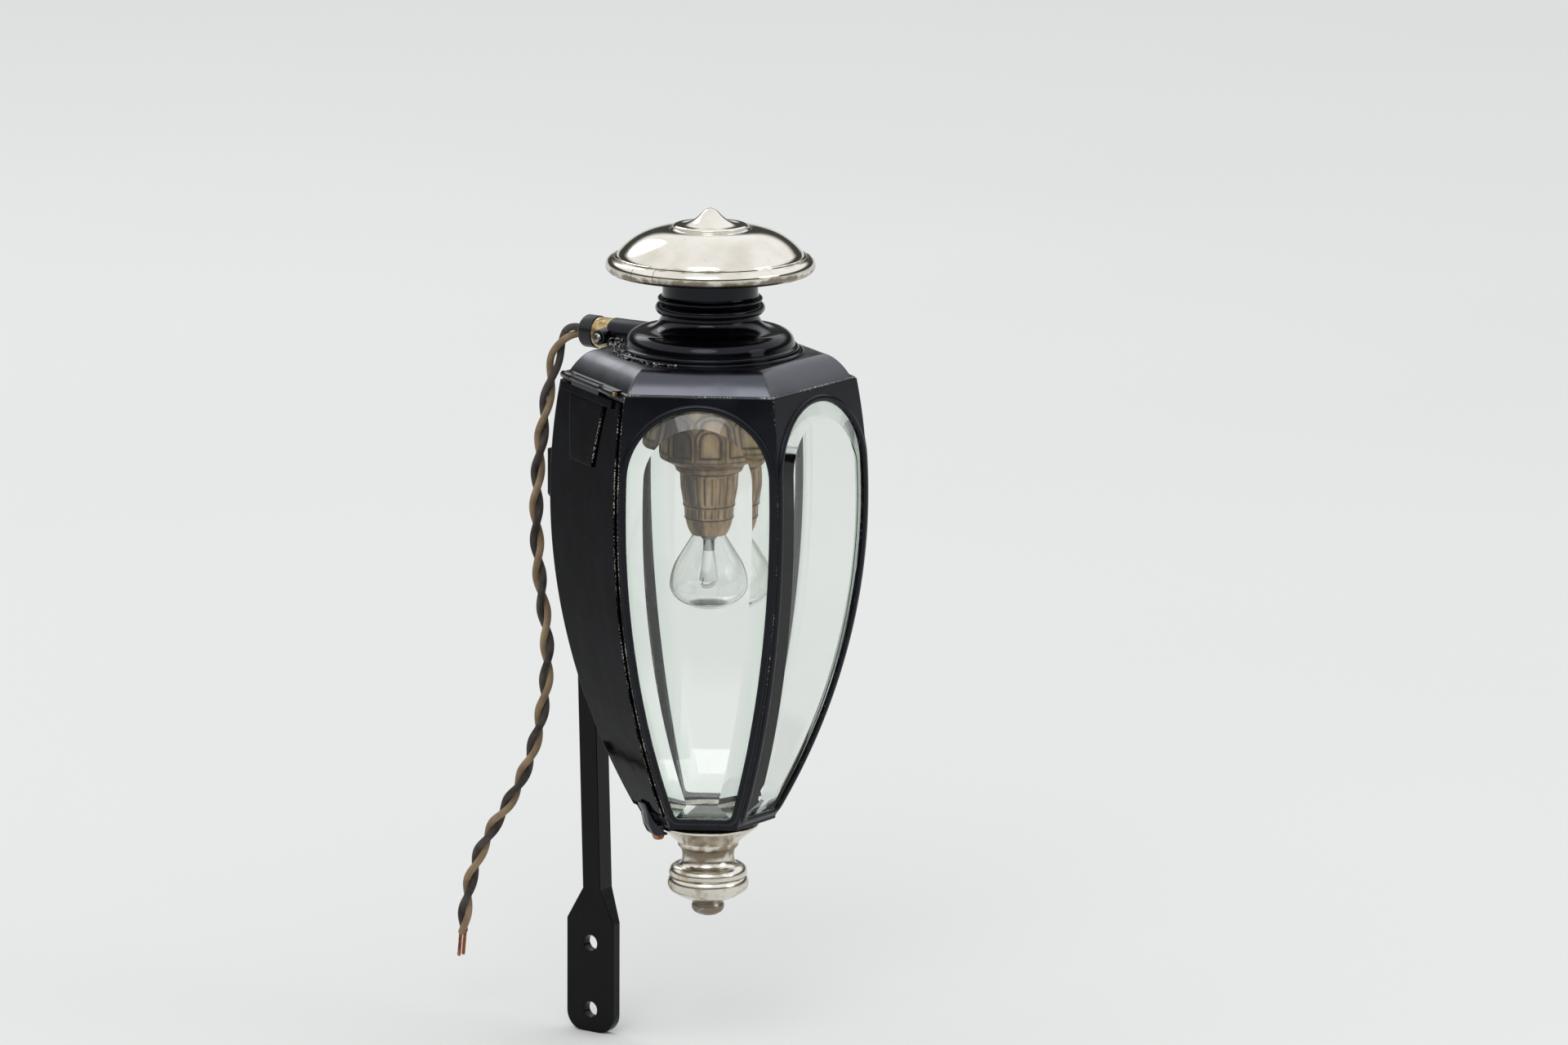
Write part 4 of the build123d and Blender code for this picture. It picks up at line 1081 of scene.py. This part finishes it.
def bulbSkin(inset):
    # outline of the blown shell, from its neck to its tip, set in by the wall
    neck, wide, middle = bulb["neck"] - inset, bulb["belly"][0] - inset, bulb["belly"][1]
    skinPoints = section([
        (neck, -82.5), (neck, -83.4, 1.0), (bulb["cone"][0] - inset, bulb["cone"][1] + 0.4 * inset),
        (18.9 - inset, -101.4, wide, middle)])
    for lean in (math.pi / 2 * k / 16 for k in range(1, 16)):
        skinPoints.append((wide * math.cos(lean), middle + (bulb["foot"] + inset - middle) * math.sin(lean)))
    return skinPoints + [(0.0, bulb["foot"] + inset)]


def bulbWarp(angle, radius, height):
    # the tip gets a painted dark reflection
    return radius, ramp(-radius, -bulb["paintedTipSpot"], 1.5) if height < bulb["belly"][1] else 0.0


bulbOutline = bulbSkin(0.0) + bulbSkin(bulb["wall"])[::-1]
turned("bulb_envelope", bulbOutline + bulbOutline[:1], 128, bulbGlass, 50.0, ("bulb",), bulbWarp)

# inside the bulb: a lead clamp, the pressed glass flare, two leads and a coiled filament
turned("bulb_support", [
    (0, -82.3), (4.2, -82.3), (4.2, -84.0, 0.4), (3.0, -85.0, 0.5), (2.8, -91.5, 0.6), (1.6, -92.6, 0.3), (0, -92.8),
], 48, leadWire, 40.0, ("bulb_stem",))
turned("bulb_flare", [
    (3.0, -91.0), (5.0, -106.8, 0.3), (4.3, -106.8, 0.2), (2.3, -92.0), (0.8, -91.4), (3.0, -91.0),
], 64, stemGlass, 50.0)
filament = {"reach": 6.5, "height": -108.5, "turns": 9, "coil": 0.9, "sag": 1.6, "points": 12}


def wireMesh(run, radius):
    # one plain round wire along points in lamp millimetres
    points = [homeMatrix @ Vector(place) for place in run]
    return bakeLine(points, strand, {**wireInputs, "Strand radius": radius * milli})


wires = [wireMesh([(hand * x, 0, z) for x, z in (
    (1.4, -92.0), (2.6, -98.0), (4.6, -105.0), (filament["reach"], filament["height"]))], 0.2) for hand in (-1, 1)]
coil = []
for share in (k / (filament["turns"] * filament["points"]) for k in range(filament["turns"] * filament["points"] + 1)):
    turn = 2 * math.pi * filament["turns"] * share
    coil.append((
        filament["reach"] * (2 * share - 1), filament["coil"] * math.cos(turn),
        filament["height"] - filament["sag"] * math.sin(math.pi * share) + filament["coil"] * math.sin(turn)))
joinMeshes("bulb_filament", wires + [wireMesh(coil, 0.1)])
print("bulb fitted")


# Foot: the six-sided plate, its dished pan and the turned finial
plate = {"levels": ((30.4, 0.0), (30.4, 1.2), (30.2, 1.4)), "cornerRound": 1.2, "points": 72}   # reach, depth
plateRings = []
for reach, depth in plate["levels"]:
    plateRings.append([])
    for angle in (2 * math.pi * k / plate["points"] for k in range(plate["points"])):
        away = hexReach(reach, angle % (math.pi / 3) - math.pi / 6, plate["cornerRound"])
        plateRings[-1].append((away * math.cos(angle), away * math.sin(angle), footTop - depth))
plateShape, plateLoops = shell(plateRings)
for loop in (plateLoops[0], plateLoops[-1]):
    plateShape.faces.new(loop)
keepPiece("foot_plate", plateShape, sideEnamel, 34.0, ("foot_pan",))
turned("foot_dish", [
    (23.5, 0), (23.5, 3.4, 0.3), (22.6, 3.4, 0.3), (19.6, 1.9, 1.0), (10.0, 1.0), (0, 0.6), (0, 0.02), (23.5, 0),
], 112, silvered, 40.0, (), None, Matrix.Translation((0, 0, footTop)))


finial = {"neck": (17.5, 4.5), "groove": (31.0, 0.5), "knob": (42.5, 2.5)}   # how far down, and how wide


def finialWarp(angle, radius, height):
    # stained in the neck and on the knob
    neck, groove = near(-height, *finial["neck"]), near(-height, *finial["groove"])
    return radius, max(0.85 * neck, 0.6 * groove, 0.9 * ramp(-height, *finial["knob"]))


turned("foot_finial", fine(section([
    (0, 0), (21.7, 0, 0.3), (23.6, -2.5, 0.8), (26.2, -3.0, 0.5), (26.2, -4.2, 0.5), (25.0, -5.0, 0.6),
    (18.8, -10.1, 2.5), (15.9, -12.6, 0.8), (15.7, -14.8, 0.5), (14.3, -16.2, 0.5), (13.4, -20.6, 14.5, -24.0),
    (15.4, -25.0, 0.6), (18.8, -25.8, 20.2, -30.4), (19.5, -31.0, 0.25), (20.2, -31.6, 0.25),
    (21.2, -34.8, 18.6, -39.2), (14.6, -41.6, 9.2, -43.8), (7.8, -45.2, 0.6), (8.4, -48.0, 5.4, -51.0),
    (5.2, -51.4, 0.3), (0, -52.6),
]), 1.2), 128, wornNickel, 40.0, ("finial",), finialWarp, Matrix.Translation((0, 0, footTop - 1.4)))
print("foot turned")


# Behind: the plug in its tube, the iron in its socket
plug = {"height": 15.2, "bossPlace": 60.53}
backwards = Matrix.Translation((0, 0, plug["height"])) @ Matrix.Rotation(math.radians(-90), 4, "X")
turned("plug_collar", [
    (5.0, 52.0), (7.1, 52.0), (7.1, 60.33), (8.0, 60.33, 0.2), (8.0, 62.4), (7.85, 62.6), (8.0, 62.8),
    (8.0, 69.83, 0.2), (5.0, 69.83), (5.0, 52.0),
], 96, brass, 34.0, ("plug_ring",), None, backwards)
turned("plug_top", [
    (2.0, 69.83), (8.5, 69.83, 0.35), (8.5, 77.0, 0.5), (7.4, 78.43, 0.9), (4.6, 78.43, 0.4), (4.2, 77.6, 0.3),
    (2.0, 77.6), (2.0, 69.83),
], 96, fibre, 34.0, ("plug_cap",), None, backwards)
turned("plug_tube", [
    (0, 36.0), (8.5, 36.0), (8.5, 60.03, 0.5), (7.45, 60.03, 0.2), (7.45, 51.5), (0, 51.5), (0, 36.0),
], 96, sideEnamel, 40.0, ("socket_tube",), None, backwards)
turned("screw_boss", [
    (0, 7.4), (4.4, 7.4), (4.2, 9.6, 1.2), (3.9, 13.9, 0.7), (2.7, 14.0, 0.2), (2.6, 13.2), (0, 13.2),
], 64, brushedEnamel, 40.0, (), None,
    Matrix.Translation((0, plug["bossPlace"], plug["height"])) @ Matrix.Rotation(-math.pi / 2, 4, "Y"))

# runs of solder under the paint, lumpy and shining, where the tube meets the roof and round the chimney's ring
solderInputs = {
    "Step": 0.0008, "Small": 0.0006, "Large": 0.0016, "Scatter": 0.0007, "Voxel": 0.00034, "Melt": 6, "Seed": 5,
    "Material": paintedSolder,
}


def lumpTree():
    # beads of random size along a line, melted into one lumpy run
    tree, given = newTree("solder run", solderInputs)
    line = addNode(tree, "GeometryNodeMeshToCurve", {"Mesh": given["Geometry"]})
    line = addNode(tree, "GeometryNodeResampleCurve", {"Curve": line, "Length": given["Step"]}, mode="LENGTH")
    spots = addNode(tree, "GeometryNodeCurveToPoints", {"Curve": line}, "Points", mode="EVALUATED")
    least = addNode(tree, "ShaderNodeMath", {0: given["Scatter"], 1: -1.0}, operation="MULTIPLY")
    stray = addNode(tree, "FunctionNodeRandomValue", {
        "Min": least, "Max": given["Scatter"], "Seed": given["Seed"]}, "Value", data_type="FLOAT_VECTOR")
    spots = addNode(tree, "GeometryNodeSetPosition", {"Geometry": spots, "Offset": stray})
    size = addNode(tree, "FunctionNodeRandomValue", {
        2: given["Small"], 3: given["Large"], "Seed": given["Seed"]}, 1, data_type="FLOAT")
    bead = addNode(tree, "GeometryNodeMeshIcoSphere", {"Radius": 1.0, "Subdivisions": 3}, "Mesh")
    beads = addNode(tree, "GeometryNodeInstanceOnPoints", {"Points": spots, "Instance": bead, "Scale": size})
    beads = addNode(tree, "GeometryNodeRealizeInstances", {"Geometry": beads})
    cloud = addNode(tree, "GeometryNodeMeshToVolume", {
        "Mesh": beads, "Voxel Size": given["Voxel"], "Interior Band Width": given["Large"]},
        resolution_mode="VOXEL_SIZE")
    melted = addNode(tree, "GeometryNodeVolumeToMesh", {
        "Volume": cloud, "Voxel Size": given["Voxel"]}, resolution_mode="VOXEL_SIZE")
    flow = addNode(tree, "GeometryNodeInputPosition")
    flow = addNode(tree, "GeometryNodeBlurAttribute", {
        "Value": flow, "Iterations": given["Melt"]}, data_type="FLOAT_VECTOR")
    melted = addNode(tree, "GeometryNodeSetPosition", {"Geometry": melted, "Position": flow})
    closeTree(tree, melted, given["Material"])
    return tree


def onRing(first, last, step, radius, height):
    turns = [math.radians(azimuth) for azimuth in range(first, last, step)]
    return [(radius * math.sin(turn), -radius * math.cos(turn), height) for turn in turns]


def besideTube(x):
    # along the tube and over the edge of the roof
    return [(x, 47.5 + 1.5 * k, 12.6 - 0.16 * max(0, k - 3) ** 1.6) for k in range(7)]


solderRuns = [   # places, and the size of the beads
    (onRing(-172, -74, 4, 48.7, 12.9), 0.62), (onRing(-168, -104, 4, 46.4, 14.3), 0.56),
    (onRing(-174, -150, 3, 49.6, 13.2), 1.2), (besideTube(-8.4), 1.25),
    ([(-8.9, 50.0 + 1.5 * k, 14.6) for k in range(5)], 1.0), (besideTube(8.4), 1.0),
]
lumps = lumpTree()
joinMeshes("solder_runs", [bakeLine([homeMatrix @ Vector(place) for place in run], lumps, {
    **solderInputs, "Small": solderInputs["Small"] * size, "Large": solderInputs["Large"] * size,
    "Seed": solderInputs["Seed"] + k}) for k, (run, size) in enumerate(solderRuns)])
softened("clamp_screw", "plug_screw", screwSteel, 0.15)
softened("iron_socket", "iron_bracket", ironPaint, 0.6)
softened("lamp_iron", "iron_bar", ironPaint, 0.7)
softened("set_screw", "iron_screw", ironPaint, 0.5)
print("plug and iron fitted")


# Studio: a plain pale floor and soft light
studio = {
    "floorWide": 60.0, "skyStrength": 1.2, "aim": 0.08,
    "lights": [   # name, power, size, place
        ("key", 34.0, 2.2, (-2.6, -1.2, 2.9)),
        ("fill", 8.0, 1.6, (0.8, -3.2, 1.2)),
        ("back", 12.0, 1.6, (1.2, 2.8, 2.2)),
    ],
}


def makeStudio():
    wide = studio["floorWide"] / 2
    mesh = bpy.data.meshes.new("floor")
    corners = [(-wide, -wide), (wide, -wide), (wide, wide), (-wide, wide)]
    mesh.from_pydata([(x, y, cadLow.z) for x, y in corners], [], [(0, 1, 2, 3)])
    mesh.materials.append(makeMaterial("studio floor", {"Roughness": 0.9, "Specular IOR Level": 0.1}, [
        ("cloud", "noise", "place", 1.1, 2),
        ("Base Color", "mix", "cloud", "#D6D6D3", "#DBDBD9"),
    ]))
    addObject("floor", mesh)
    world = bpy.data.worlds.new("studio")
    world.use_nodes = True
    backdrop = world.node_tree.nodes["Background"]
    # pale along the floor, then a dark band high on the walls, so that polished metal has something to show
    known = addNodes(world.node_tree, {}, [
        ("rise", "generated"),
        ("rise", "height", "rise"),
        ("low", "ease", "rise", 0.07, 0.095),
        ("high", "ease", "rise", 0.28, 0.43),
        ("Color", "mix", "low", "#C3C5C4", "#3F413B"),
        ("Color", "mix", "high", "Color", "#F8FAFD"),
    ])
    world.node_tree.links.new(known["Color"], backdrop.inputs["Color"])
    backdrop.inputs["Strength"].default_value = studio["skyStrength"]
    bpy.context.scene.world = world
    middle = lampAxis - Vector((0, 0, studio["aim"]))
    for name, power, size, place in studio["lights"]:
        data = bpy.data.lights.new(name, "AREA")
        data.shape = "DISK"
        data.size = size
        data.energy = power
        lamp = addObject(name, data)
        lamp.location = middle + Vector(place)
        lamp.rotation_euler = (middle - lamp.location).to_track_quat("-Z", "Y").to_euler()


makeStudio()
print("studio lit")
